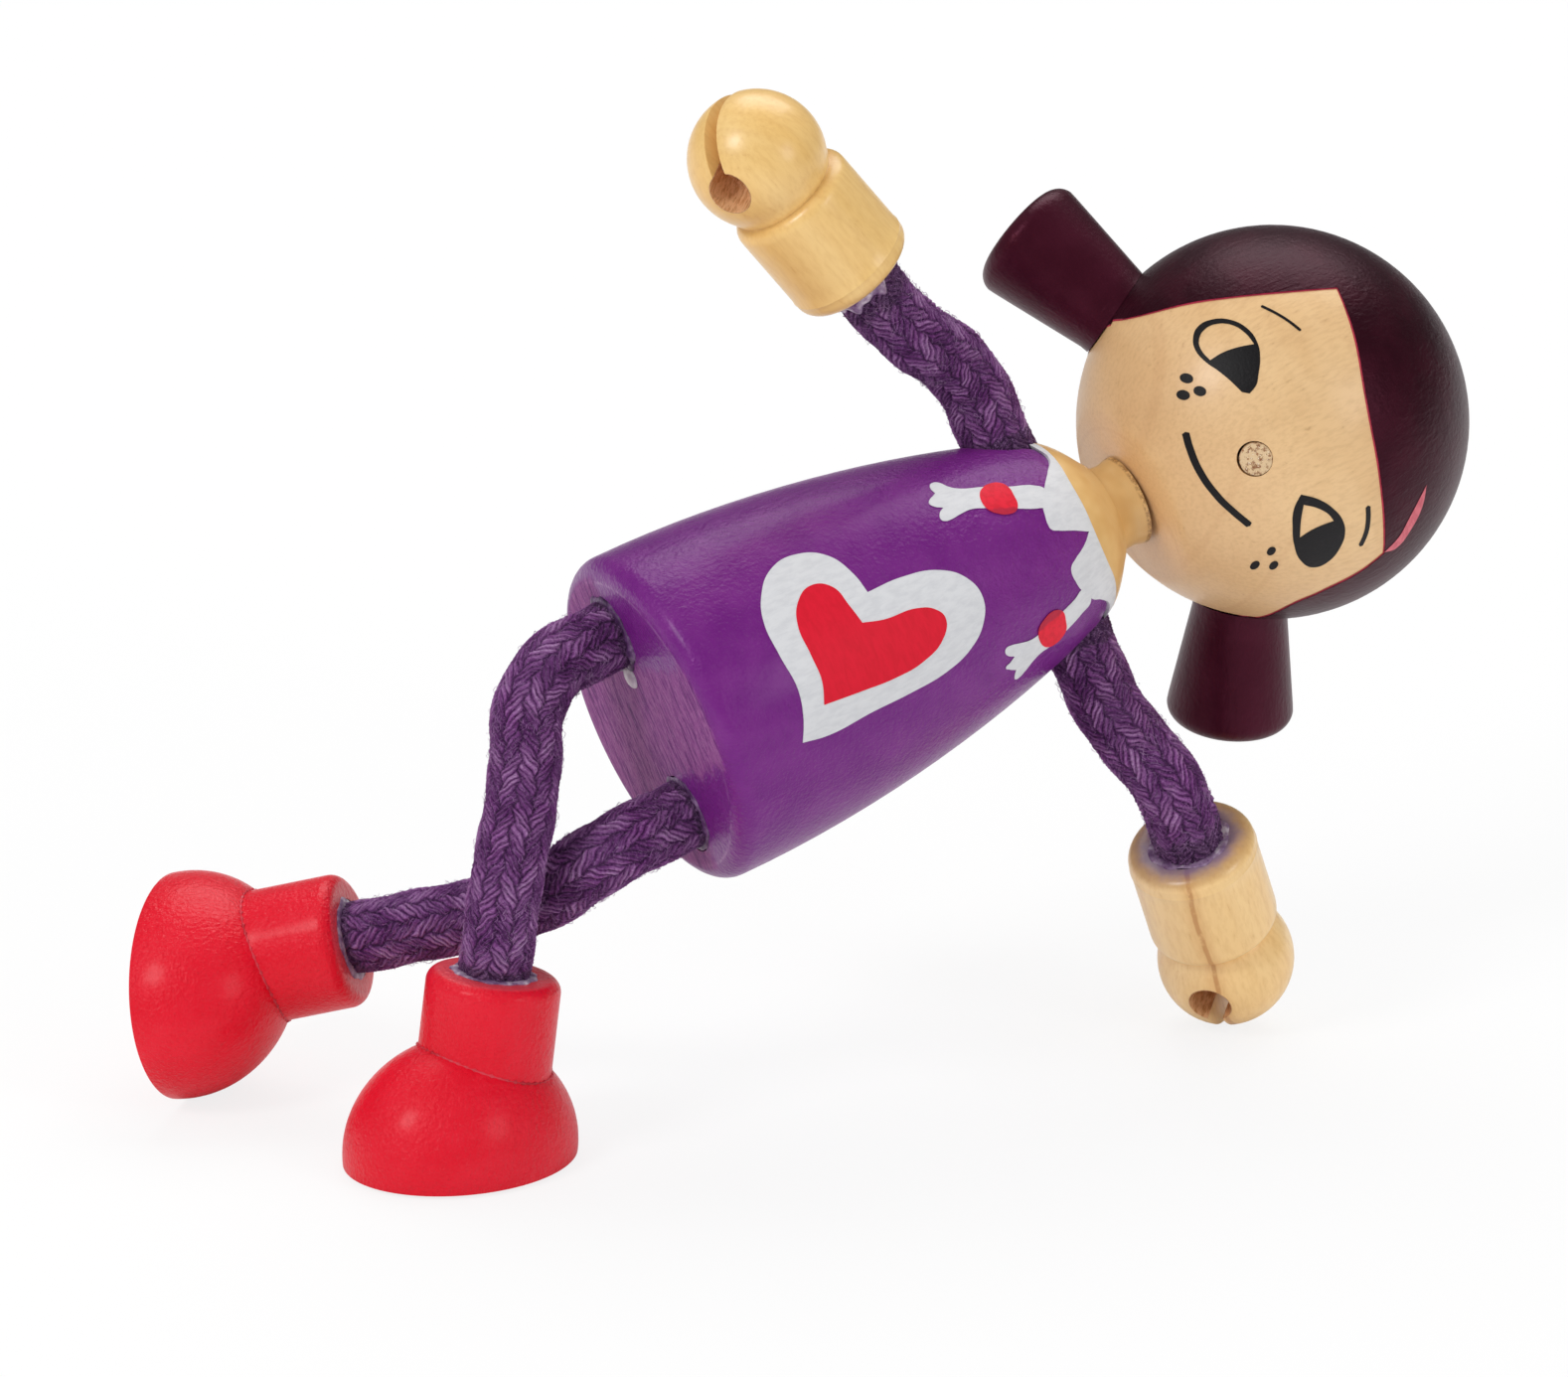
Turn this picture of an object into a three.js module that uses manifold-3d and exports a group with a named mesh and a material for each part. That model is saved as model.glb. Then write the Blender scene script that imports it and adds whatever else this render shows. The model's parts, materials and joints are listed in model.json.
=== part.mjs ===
// A small bendable wooden doll: turned wooden torso, head, hands and boots, joined by
// braided cords that have a soft iron wire inside, so that every limb bends and stays put.
// Millimetres, +Z up. The doll rests on its right boot, the edge of its left boot and its left hand.

import * as THREE from 'three';
import { mergeVertices } from 'three/addons/utils/BufferGeometryUtils.js';
import Module from 'manifold-3d';

const wasm = await Module();
wasm.setup();

// Clearance between pieces that touch
const gap = 0.3;
// How far a cutting shape runs out past the face that it cuts
const overshoot = 1.0;

// Torso: a turned, tapering block with its neck in one piece
const torsoLength = 34.4;
const torsoBaseRadius = 11.85;
const torsoBaseRounding = 1.4;
const shoulderRadius = 6.1;
const neckLength = 3.8;
const neckRadius = 3.0;
const neckFlare = 0.5;

// Curve of the torso's side and shoulders: heights as shares of the length, and bulges
const sideLowShare = 0.4;
const sideHighShare = 0.77;
const sideLowBulge = 0.1;
const sideHighBulge = 0.3;
const shoulderSlope = 0.8;
const shoulderShare = 0.35;
const throatLowShare = 0.5;
const throatHighShare = 0.8;

// Head: a ball with a flat seat for the neck
const headRadius = 13.5;
const headSeatHeight = 12.0;
const headLean = 3;
const neckDowelRadius = 1.5;
const neckDowelInTorso = 7.0;
const neckDowelInHead = 7.0;

// Nose: the end of a short dowel
const noseRadius = 1.1;
const noseLength = 5.0;
const noseDrop = 31;

// Pigtails: tapered plugs on dowels. They are knocked in by hand, so the two don't quite match:
// each seat and direction is given by its angle to the back and its drop, in degrees
const pigtailLength = 8.6;
const pigtailRootRadius = 3.3;
const pigtailEndRadius = 4.4;
const pigtailRounding = 1.0;
const leftPigtailPlace = { seatBack: 22.3, seatDrop: 27.5, back: 29.1, drop: 18.4 };
const rightPigtailPlace = { seatBack: 17.9, seatDrop: 25.1, back: 26.4, drop: 15.7 };
const pigtailDowelRadius = 1.2;
const pigtailDowelInHead = 5.0;
const pigtailDowelInPigtail = 5.0;

// Limb cord, with its wire
const cordRadius = 2.5;
const wireRadius = 0.5;
const straightEnd = 3.0;
const socketLip = 0.2;
// Where the rim of a link's socket starts, measured from the middle of the ball inside it
const lipStart = Math.sqrt((cordRadius + gap) ** 2 - cordRadius ** 2) + socketLip;

// Arms
const shoulderHoleDrop = 3.3;
const wallBesideNeckHole = 0.8;
const armCordInHand = 6.0;
const armLinkLength = 5.6;

// Legs
const legHoleSpacing = 13.2;
const legCordInTorso = 9.0;
const legCordInBoot = 7.0;
const legLinkLength = 6.8;

// Hand: a turned cylinder and ball, drilled across and sawn open so that it can grip a rod
const handRadius = 4.5;
const handCuffLength = 8.2;
const handRounding = 0.7;
const handBallRadius = 4.75;
const handBallRise = 3.1;
const gripRadius = 1.5;
const gripRise = 1.2;
const gripSlot = 1.1;

// Boot: an egg-shaped foot with a flat sole, and a shaft that leans back over the heel
const bootHeight = 12.6;
const bootShaftRadius = 4.6;
const bootRounding = 0.8;
const bootLean = 8;
const footHalfLength = 8.5;
const footHalfWidth = 7.0;
const footDomeHeight = 7.55;
const footToeShift = 1.15;
const footEdgeHeight = 0.7;

// Pose of the body: the torso axis points right, away and slightly up, chest turned upwards
const bodyHeading = 28.4;
const bodyRise = 15.7;
const bodyTwist = -21.2;

// Pose of the limbs: how far each cord link bends, and towards which side, in degrees.
// For a leg 0 is towards the doll's left and 90 towards its front. For an arm 90 is its front too,
// and 0 is towards the head on the left arm and towards the feet on the right one.
const rightLegBends = [{ bend: 65, toward: 3 }, { bend: 12, toward: -166 }, { bend: 21, toward: -55 }];
const leftLegBends = [{ bend: 60, toward: -72 }, { bend: 34, toward: 145 }, { bend: 3, toward: -60 }];
const leftArmBends = [{ bend: 24, toward: 50 }, { bend: 51, toward: -94 }];
const rightArmBends = [{ bend: 49, toward: 30 }, { bend: 23, toward: -148 }];
const rightToeTurn = 161;
const leftToeTurn = 66;
const rightGripTurn = 33;
const leftGripTurn = 140;

// Fineness of the round shapes
const roundSides = 32;
const smallSides = 24;
const cordSides = 12;
const linkSteps = 4;
const outlineSteps = 5;

const materials = {
  purplePaint: { color: '#6a2483', roughness: 0.38, metalness: 0 },
  plumPaint: { color: '#3e0f20', roughness: 0.32, metalness: 0 },
  redPaint: { color: '#e2232f', roughness: 0.45, metalness: 0 },
  bareWood: { color: '#e3bc84', roughness: 0.5, metalness: 0 },
  lacqueredWood: { color: '#e3b96f', roughness: 0.3, metalness: 0 },
  dowelWood: { color: '#cfa873', roughness: 0.7, metalness: 0 },
  purpleCord: { color: '#5e2b78', roughness: 0.95, metalness: 0 },
  iron: { color: '#8c8c90', roughness: 0.45, metalness: 1 },
};

const degrees = THREE.MathUtils.degToRad;

// Shapes and solids

function toSolid(geometry) {
  const bare = geometry.clone();
  bare.deleteAttribute('normal');
  bare.deleteAttribute('uv');
  const merged = mergeVertices(bare, 1e-4);
  const corners = merged.index.array;
  const kept = [];
  for (let i = 0; i < corners.length; i += 3) {
    const [a, b, c] = [corners[i], corners[i + 1], corners[i + 2]];
    if (a !== b && b !== c && c !== a) {
      kept.push(a, b, c);
    }
  }
  return new wasm.Manifold(new wasm.Mesh({
    numProp: 3,
    vertProperties: new Float32Array(merged.attributes.position.array),
    triVerts: new Uint32Array(kept),
  }));
}

function addMesh(parent, name, solid, material) {
  const { vertProperties, triVerts } = solid.getMesh();
  const geometry = new THREE.BufferGeometry();
  geometry.setAttribute('position', new THREE.BufferAttribute(vertProperties, 3));
  geometry.setIndex(new THREE.BufferAttribute(triVerts, 1));
  geometry.computeVertexNormals();
  const mesh = new THREE.Mesh(geometry, new THREE.MeshStandardMaterial(materials[material]));
  mesh.name = name;
  parent.add(mesh);
}

// A solid of revolution about Z, from an outline of radius and height
function turned(outline, sides = roundSides) {
  return new THREE.LatheGeometry(outline, sides).rotateX(Math.PI / 2);
}

function rod(radius, from, to, sides = cordSides) {
  return new THREE.CylinderGeometry(radius, radius, to - from, sides)
    .rotateX(Math.PI / 2)
    .translate(0, 0, (from + to) / 2);
}

function ball(radius, sides = cordSides) {
  return new THREE.SphereGeometry(radius, sides, sides / 2).rotateX(Math.PI / 2);
}

// The centre line of one cord link: an arc with straight runs before and after it
class LinkPath extends THREE.Curve {
  constructor(length, bend, toward, from, to) {
    super();
    Object.assign(this, { length, bend, toward, from, to });
  }

  getPoint(t, target = new THREE.Vector3()) {
    const along = THREE.MathUtils.lerp(this.from, this.to, t);
    const onArc = THREE.MathUtils.clamp(along, 0, this.length);
    const angle = this.length > 0 ? this.bend * onArc / this.length : 0;
    const radius = this.bend > 0 ? this.length / this.bend : 0;
    const sideways = radius * (1 - Math.cos(angle)) + (along - onArc) * Math.sin(angle);
    const forward = (this.bend > 0 ? radius * Math.sin(angle) : onArc) + (along - onArc) * Math.cos(angle);
    return target.set(sideways * Math.cos(this.toward), sideways * Math.sin(this.toward), forward);
  }
}

function tube(radius, path, sides) {
  const section = new THREE.Shape().absarc(0, 0, radius, 0, 2 * Math.PI);
  return new THREE.ExtrudeGeometry(section, {
    curveSegments: sides / 2,
    steps: path.bend > 0 ? linkSteps : 1,
    extrudePath: path,
    bevelEnabled: false,
  });
}

// One stretch of braided cord with its wire. It starts in a socket round the ball of the stretch
// before it, or square, and it ends in a ball, or square.
function addCord(parent, name, { length, bend = 0, toward = 0, from, to, socket, ballEnd }) {
  const path = (start, end) => new LinkPath(length, bend, toward, start, end);
  const last = path(from, to).getPoint(1);
  let cord = toSolid(tube(cordRadius, path(from, to), cordSides));
  if (ballEnd) {
    cord = cord.add(toSolid(ball(cordRadius).translate(...last)));
  }
  if (socket) {
    cord = cord.subtract(toSolid(ball(cordRadius + gap)));
  }
  const boreStart = socket ? 0 : from - overshoot;
  const boreEnd = to + (ballEnd ? cordRadius : 0) + overshoot;
  cord = cord.subtract(toSolid(tube(wireRadius + gap, path(boreStart, boreEnd), cordSides / 2)));
  addMesh(parent, `${name}_cord`, cord, 'purpleCord');

  const wireStart = socket ? cordRadius + 2 * gap : from;
  const wireEnd = to + (ballEnd ? cordRadius - gap : 0);
  const wire = toSolid(tube(wireRadius, path(wireStart, wireEnd), cordSides / 2));
  addMesh(parent, `${name}_wire`, wire, 'iron');
}

// A bending point of a cord: its hinge turns about the doll's front-to-back line or its side line
function addBendingPoint(parent, name, hinge, place) {
  const point = new THREE.Group();
  point.name = name;
  point.userData.hinge = hinge;
  place(point);
  parent.add(point);
  return point;
}

// A limb from its hole in the torso to its hand or boot. Each bending point carries the next link.
function addLimb(root, side, limb) {
  addCord(root, `${side}_${limb.rootName}`, {
    length: 0, from: -limb.inTorso, to: straightEnd, socket: false, ballEnd: true,
  });
  let point = addBendingPoint(root, `${side}_${limb.points[0].name}`, limb.points[0].hinge,
    (group) => group.position.set(0, 0, straightEnd));
  limb.bends.forEach(({ bend, toward }, i) => {
    const arc = { length: limb.linkLength, bend: degrees(bend), toward: degrees(toward) };
    addCord(point, `${side}_${limb.links[i]}`, {
      ...arc, from: lipStart, to: limb.linkLength, socket: true, ballEnd: true,
    });
    const turnAxis = new THREE.Vector3(-Math.sin(arc.toward), Math.cos(arc.toward), 0);
    const next = limb.points[i + 1];
    point = addBendingPoint(point, `${side}_${next.name}`, next.hinge, (group) => {
      group.position.copy(new LinkPath(arc.length, arc.bend, arc.toward, 0, arc.length).getPoint(1));
      group.quaternion.setFromAxisAngle(turnAxis, arc.bend);
    });
  });
  addCord(point, `${side}_${limb.endName}`, {
    length: 0, from: lipStart, to: straightEnd + limb.inEnd, socket: true, ballEnd: false,
  });
  const end = new THREE.Group();
  end.position.set(0, 0, straightEnd);
  end.rotation.z = degrees(limb.endTurn);
  point.add(end);
  return end;
}

// Torso

const shoulderHoleHeight = torsoLength - shoulderHoleDrop;
const neckTop = torsoLength + neckLength;

const torsoOutline = new THREE.Path()
  .moveTo(0, 0)
  .lineTo(torsoBaseRadius - torsoBaseRounding, 0)
  .quadraticCurveTo(torsoBaseRadius, 0, torsoBaseRadius, torsoBaseRounding)
  .bezierCurveTo(
    torsoBaseRadius + sideLowBulge, sideLowShare * torsoLength,
    (torsoBaseRadius + shoulderRadius) / 2 + sideHighBulge, sideHighShare * torsoLength,
    shoulderRadius, torsoLength)
  .bezierCurveTo(
    shoulderRadius - shoulderSlope, torsoLength + shoulderShare * neckLength,
    neckRadius, torsoLength + throatLowShare * neckLength,
    neckRadius, torsoLength + throatHighShare * neckLength)
  .lineTo(neckRadius + neckFlare, neckTop)
  .lineTo(0, neckTop);

// Radius of the torso where the shoulder holes are drilled, read off its outline
const torsoOutlinePoints = torsoOutline.getPoints(outlineSteps);

function torsoRadiusAt(height) {
  const above = torsoOutlinePoints.findIndex((point) => point.y > height);
  const [low, high] = [torsoOutlinePoints[above - 1], torsoOutlinePoints[above]];
  return THREE.MathUtils.mapLinear(height, low.y, high.y, low.x, high.x);
}

// The shoulder holes end beside the hole for the neck dowel
const neckHoleRadius = neckDowelRadius + gap;
const armCordInTorso = torsoRadiusAt(shoulderHoleHeight) - neckHoleRadius - wallBesideNeckHole - gap;

function placedRoot(sideways, front, outward, position) {
  const root = new THREE.Group();
  root.quaternion.setFromRotationMatrix(new THREE.Matrix4().makeBasis(sideways, front, outward));
  root.position.copy(position);
  root.updateMatrix();
  return root;
}

const left = new THREE.Vector3(1, 0, 0);
const front = new THREE.Vector3(0, -1, 0);
const up = new THREE.Vector3(0, 0, 1);

function armRoot(sign) {
  const outward = left.clone().multiplyScalar(sign);
  const position = outward.clone()
    .multiplyScalar(torsoRadiusAt(shoulderHoleHeight))
    .addScaledVector(up, shoulderHoleHeight);
  return placedRoot(up.clone().multiplyScalar(sign), front, outward, position);
}

function legRoot(sign) {
  const position = left.clone().multiplyScalar(sign * legHoleSpacing / 2);
  return placedRoot(left, front, up.clone().negate(), position);
}

const roots = {
  left_arm: armRoot(1),
  right_arm: armRoot(-1),
  left_leg: legRoot(1),
  right_leg: legRoot(-1),
};

const doll = new THREE.Group();

let torso = toSolid(turned(torsoOutlinePoints));
for (const [name, root] of Object.entries(roots)) {
  const depth = name.endsWith('arm') ? armCordInTorso : legCordInTorso;
  const hole = rod(cordRadius + gap, -depth - gap, torsoBaseRadius).applyMatrix4(root.matrix);
  torso = torso.subtract(toSolid(hole));
  doll.add(root);
}
const neckHole = rod(neckHoleRadius, neckTop - neckDowelInTorso - gap, neckTop + overshoot);
torso = torso.subtract(toSolid(neckHole));
addMesh(doll, 'torso', torso, 'purplePaint');

const neckDowel = rod(neckDowelRadius, neckTop - neckDowelInTorso, neckTop + gap + neckDowelInHead);
addMesh(doll, 'neck_dowel', toSolid(neckDowel), 'dowelWood');

// Head, in a frame with its origin at the middle of the neck joint

const headGroup = new THREE.Group();
headGroup.name = 'head_turn';
headGroup.userData.hinge = 'up';
headGroup.position.set(0, 0, neckTop + gap);
doll.add(headGroup);

// The head leans a little to the doll's right on its dowel
const leaningHead = new THREE.Group();
leaningHead.rotation.y = degrees(-headLean);
leaningHead.updateMatrix();
headGroup.add(leaningHead);

const headCentre = new THREE.Vector3(0, 0, headSeatHeight);
const seatAngle = Math.asin(headSeatHeight / headRadius);
const headOutline = new THREE.Path()
  .moveTo(0, 0)
  .lineTo(headRadius * Math.cos(seatAngle), 0)
  .absarc(0, headSeatHeight, headRadius, -seatAngle, Math.PI / 2);
let head = toSolid(turned(headOutline.getPoints(2 * outlineSteps)));
const dowelHole = rod(neckHoleRadius, -overshoot, neckDowelInHead + gap);
head = head.subtract(toSolid(dowelHole.applyMatrix4(leaningHead.matrix.clone().invert())));

// A frame on the head whose Z points along a direction given by its side, its angle to the back
// and its drop below the horizontal
function headFrame(sign, back, drop, position) {
  const direction = new THREE.Vector3(
    sign * Math.cos(degrees(back)) * Math.cos(degrees(drop)),
    Math.sin(degrees(back)) * Math.cos(degrees(drop)),
    -Math.sin(degrees(drop)));
  const frame = new THREE.Group();
  frame.quaternion.setFromUnitVectors(up, direction);
  frame.position.copy(headCentre).addScaledVector(position ?? direction, headRadius);
  frame.updateMatrix();
  return { frame, direction };
}

const noseSeat = headFrame(1, -90, noseDrop);
const noseHole = rod(noseRadius + gap, -noseLength - gap, overshoot).applyMatrix4(noseSeat.frame.matrix);
head = head.subtract(toSolid(noseHole));

const pigtailOutline = new THREE.Path()
  .moveTo(0, -pigtailRootRadius)
  .lineTo(pigtailRootRadius, -pigtailRootRadius)
  .lineTo(pigtailRootRadius, 0)
  .lineTo(pigtailEndRadius, pigtailLength - pigtailRounding)
  .quadraticCurveTo(pigtailEndRadius, pigtailLength, pigtailEndRadius - pigtailRounding, pigtailLength)
  .lineTo(0, pigtailLength);
const pigtailHoleRadius = pigtailDowelRadius + gap;

for (const [side, sign, place] of [['left', 1, leftPigtailPlace], ['right', -1, rightPigtailPlace]]) {
  const seat = headFrame(sign, place.seatBack, place.seatDrop);
  const { frame } = headFrame(sign, place.back, place.drop, seat.direction);
  const hole = rod(pigtailHoleRadius, -pigtailDowelInHead - gap, pigtailDowelInPigtail + gap);
  head = head.subtract(toSolid(hole.clone().applyMatrix4(frame.matrix)));

  const headInFrame = new THREE.SphereGeometry(headRadius + gap, roundSides, roundSides / 2)
    .translate(...headCentre)
    .applyMatrix4(frame.matrix.clone().invert());
  const pigtail = toSolid(turned(pigtailOutline.getPoints(outlineSteps), smallSides))
    .subtract(toSolid(headInFrame))
    .subtract(toSolid(hole));
  addMesh(frame, `${side}_pigtail`, pigtail, 'plumPaint');
  const dowel = rod(pigtailDowelRadius, -pigtailDowelInHead, pigtailDowelInPigtail);
  addMesh(frame, `${side}_pigtail_dowel`, toSolid(dowel), 'dowelWood');
  leaningHead.add(frame);
}

addMesh(leaningHead, 'head', head, 'bareWood');
addMesh(noseSeat.frame, 'nose_plug', toSolid(rod(noseRadius, -noseLength, 0)), 'dowelWood');
leaningHead.add(noseSeat.frame);

// Hands

const handBallHeight = handCuffLength + handBallRise;

function handSolid() {
  const jointAngle = Math.asin(handBallRise / handBallRadius);
  const outline = new THREE.Path()
    .moveTo(0, 0)
    .lineTo(handRadius - handRounding, 0)
    .quadraticCurveTo(handRadius, 0, handRadius, handRounding)
    .lineTo(handRadius, handCuffLength - handRounding)
    .quadraticCurveTo(handRadius, handCuffLength,
      handBallRadius * Math.cos(jointAngle), handCuffLength)
    .absarc(0, handBallHeight, handBallRadius, -jointAngle, Math.PI / 2);
  const reach = 2 * handBallRadius;
  const gripHole = rod(gripRadius, -reach, reach)
    .rotateY(Math.PI / 2)
    .translate(0, 0, handBallHeight + gripRise);
  const slot = new THREE.BoxGeometry(2 * reach, gripSlot, reach)
    .translate(0, 0, handBallHeight + gripRise + reach / 2);
  return toSolid(turned(outline.getPoints(outlineSteps), smallSides))
    .subtract(toSolid(rod(cordRadius + gap, -overshoot, armCordInHand + gap)))
    .subtract(toSolid(gripHole))
    .subtract(toSolid(slot));
}

// Boots

function bootSolid() {
  const shaftOutline = new THREE.Path()
    .moveTo(0, 0)
    .lineTo(bootShaftRadius - bootRounding, 0)
    .quadraticCurveTo(bootShaftRadius, 0, bootShaftRadius, bootRounding)
    .lineTo(bootShaftRadius, bootHeight - footEdgeHeight)
    .lineTo(0, bootHeight - footEdgeHeight);
  const foot = new THREE.SphereGeometry(1, roundSides, roundSides / 2)
    .rotateX(Math.PI / 2)
    .scale(footHalfLength, footHalfWidth, footDomeHeight)
    .translate(footToeShift, 0, -footEdgeHeight);
  const cutSize = 3 * bootHeight;
  const belowSole = new THREE.BoxGeometry(cutSize, cutSize, cutSize).translate(0, 0, cutSize / 2);
  const onSole = (geometry) => geometry.rotateY(degrees(-bootLean)).translate(0, 0, bootHeight);
  return toSolid(turned(shaftOutline.getPoints(outlineSteps), smallSides))
    .add(toSolid(onSole(foot)))
    .subtract(toSolid(onSole(belowSole)))
    .subtract(toSolid(rod(cordRadius + gap, -overshoot, legCordInBoot + gap)));
}

// Limbs

const arm = {
  rootName: 'shoulder',
  links: ['upper_arm', 'forearm'],
  endName: 'wrist',
  points: [
    { name: 'shoulder', hinge: 'front' },
    { name: 'elbow', hinge: 'side' },
    { name: 'wrist', hinge: 'front' },
  ],
  linkLength: armLinkLength,
  inTorso: armCordInTorso,
  inEnd: armCordInHand,
};

const leg = {
  rootName: 'hip',
  links: ['thigh', 'knee', 'shin'],
  endName: 'ankle',
  points: [
    { name: 'hip', hinge: 'front' },
    { name: 'thigh', hinge: 'side' },
    { name: 'knee', hinge: 'side' },
    { name: 'ankle', hinge: 'front' },
  ],
  linkLength: legLinkLength,
  inTorso: legCordInTorso,
  inEnd: legCordInBoot,
};

const hand = handSolid();
const boot = bootSolid();

const leftWrist = addLimb(roots.left_arm, 'left', { ...arm, bends: leftArmBends, endTurn: leftGripTurn });
addMesh(leftWrist, 'left_hand', hand, 'lacqueredWood');
const rightWrist = addLimb(roots.right_arm, 'right', { ...arm, bends: rightArmBends, endTurn: rightGripTurn });
addMesh(rightWrist, 'right_hand', hand, 'lacqueredWood');
const leftAnkle = addLimb(roots.left_leg, 'left', { ...leg, bends: leftLegBends, endTurn: leftToeTurn });
addMesh(leftAnkle, 'left_boot', boot, 'redPaint');
const rightAnkle = addLimb(roots.right_leg, 'right', { ...leg, bends: rightLegBends, endTurn: rightToeTurn });
addMesh(rightAnkle, 'right_boot', boot, 'redPaint');

// Pose: the doll is laid over, turned, and set down on the floor with its middle over the origin

doll.rotation.z = degrees(bodyTwist);
const laidOver = new THREE.Group();
laidOver.rotation.set(0, degrees(90 - bodyRise), degrees(bodyHeading), 'ZYX');
laidOver.add(doll);

const standing = new THREE.Group();
standing.add(laidOver);
standing.updateMatrixWorld(true);
const box = new THREE.Box3().setFromObject(standing, true);
const middle = box.getCenter(new THREE.Vector3());
laidOver.position.set(-middle.x, -middle.y, -box.min.z);

export default standing;
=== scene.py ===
import json
from math import asin, atan2, cos, degrees, pi, radians, sin, sqrt

import bpy
import numpy as np
from mathutils import Matrix, Vector


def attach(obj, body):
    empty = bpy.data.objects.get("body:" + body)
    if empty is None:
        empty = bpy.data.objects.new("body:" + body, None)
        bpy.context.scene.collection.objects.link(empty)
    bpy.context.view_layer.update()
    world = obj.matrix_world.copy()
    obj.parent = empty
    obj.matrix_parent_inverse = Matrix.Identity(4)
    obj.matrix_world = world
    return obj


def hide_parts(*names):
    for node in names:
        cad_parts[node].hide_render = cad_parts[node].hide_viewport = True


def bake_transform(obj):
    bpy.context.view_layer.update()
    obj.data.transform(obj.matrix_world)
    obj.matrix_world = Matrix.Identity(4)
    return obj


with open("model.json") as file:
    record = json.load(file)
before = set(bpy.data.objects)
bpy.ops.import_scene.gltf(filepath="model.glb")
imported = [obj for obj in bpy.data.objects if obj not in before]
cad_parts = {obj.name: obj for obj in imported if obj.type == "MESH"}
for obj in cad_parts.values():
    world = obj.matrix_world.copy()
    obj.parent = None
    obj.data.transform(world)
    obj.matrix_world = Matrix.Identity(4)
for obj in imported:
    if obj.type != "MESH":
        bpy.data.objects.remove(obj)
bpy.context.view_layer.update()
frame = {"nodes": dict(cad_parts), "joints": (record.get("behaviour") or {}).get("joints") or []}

bpy.ops.object.select_all(action="DESELECT")

# Torso
# A tapering block turned in one piece with its neck, from close-grained pale wood. It is sprayed
# purple, and the neck cream. The flat end took less paint, so that its saw marks show through.

TORSO_LENGTH = 34.4
TORSO_BASE_RADIUS = 11.85
TORSO_BASE_ROUNDING = 1.4
SHOULDER_RADIUS = 6.1
NECK_LENGTH = 3.8
NECK_RADIUS = 3.0
NECK_FLARE = 0.2
NECK_WAIST = 3.0
NECK_JOINT = 0.1
SHOULDER_SOFTENED = 1.6
CREAM_FROM = TORSO_LENGTH - 1.0
NECK_DOWEL_HOLE = 1.8
DOWEL_HOLE_DEPTH = 7.3
CUTTER_REACH = 1.0
ROD_SIDES = 48
CORD_HOLE_RADIUS = 2.8
LEG_HOLE_DEPTH = 9.3
ARM_HOLE_END = 2.7
LEG_HOLE_SPACING = 13.2
SHOULDER_HOLE_HEIGHT = TORSO_LENGTH - 3.3
NECK_TOP = TORSO_LENGTH + NECK_LENGTH
NECK_WAIST_HEIGHT = TORSO_LENGTH + 0.75 * NECK_LENGTH
LOW_FULLNESS = 0.1
LOW_FULLNESS_AT = 0.4
HIGH_FULLNESS = 0.3
HIGH_FULLNESS_AT = 0.77
ON_AXIS = 0.05
HEAD_GAP = 0.3
SIDES = {"left": 1, "right": -1}

joints = {joint["name"]: joint for joint in frame["joints"]}


def mm(length):
    """Metres, from a length in mm. All named sizes are in mm, and all angles in degrees."""
    return length / 1000


def joint_place(name):
    return Vector(joints[name]["pos_m"])


def joint_axis(name):
    return Vector(joints[name]["axis"]).normalized()


def frame_of(origin, across, along, up):
    """The matrix whose X, Y and Z lie along the three directions."""
    matrix = Matrix((across, along, up)).transposed().to_4x4()
    matrix.translation = origin
    return matrix


torso_up = joint_axis("head_turn")
torso_front = joint_axis("left_shoulder")
torso_left = torso_up.cross(torso_front)
torso_base = joint_place("head_turn") - torso_up * mm(NECK_TOP + HEAD_GAP)
torso_frame = frame_of(torso_base, torso_left, -torso_front, torso_up)


def bezier(start, near_start, near_end, end, steps):
    """Points of a cubic curve after its start, as (radius, height)."""
    points = []
    for step in range(1, steps + 1):
        t = step / steps
        s = 1 - t
        weights = (s * s * s, 3 * s * s * t, 3 * s * t * t, t * t * t)
        corners = (start, near_start, near_end, end)
        points.append(tuple(sum(w * c[i] for w, c in zip(weights, corners)) for i in (0, 1)))
    return points


def arc(centre_radius, centre_height, radius, first, last, steps):
    """Points of an arc in an outline, as (radius, height), its angles in degrees."""
    points = []
    for step in range(steps + 1):
        angle = radians(first + (last - first) * step / steps)
        points.append((centre_radius + radius * cos(angle), centre_height + radius * sin(angle)))
    return points


def turn_on_lathe(name, outline, sides):
    """A turned solid about Z, from an outline of radius and height in mm, lowest point first."""
    first_radius, first_height = outline[0]
    bpy.ops.mesh.primitive_circle_add(
        vertices=sides, radius=mm(first_radius), fill_type="NGON", location=(0, 0, mm(first_height)))
    piece = bpy.context.object
    piece.name = name
    bpy.ops.object.transform_apply(location=True)
    bpy.ops.object.mode_set(mode="EDIT")
    bpy.ops.mesh.select_all(action="SELECT")
    for (radius, height), (next_radius, next_height) in zip(outline, outline[1:]):
        bpy.ops.mesh.extrude_region_move(
            TRANSFORM_OT_translate={"value": (0, 0, mm(next_height - height))})
        growth = next_radius / radius
        bpy.ops.transform.resize(value=(growth, growth, 1), center_override=(0, 0, mm(next_height)))
    bpy.ops.mesh.select_all(action="SELECT")
    bpy.ops.mesh.normals_make_consistent(inside=False)
    bpy.ops.object.mode_set(mode="OBJECT")
    piece.select_set(False)
    return piece


def latest(name):
    """The object that the last operator made, named and no longer selected."""
    piece = bpy.context.object
    piece.name = name
    piece.select_set(False)
    return piece


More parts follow.
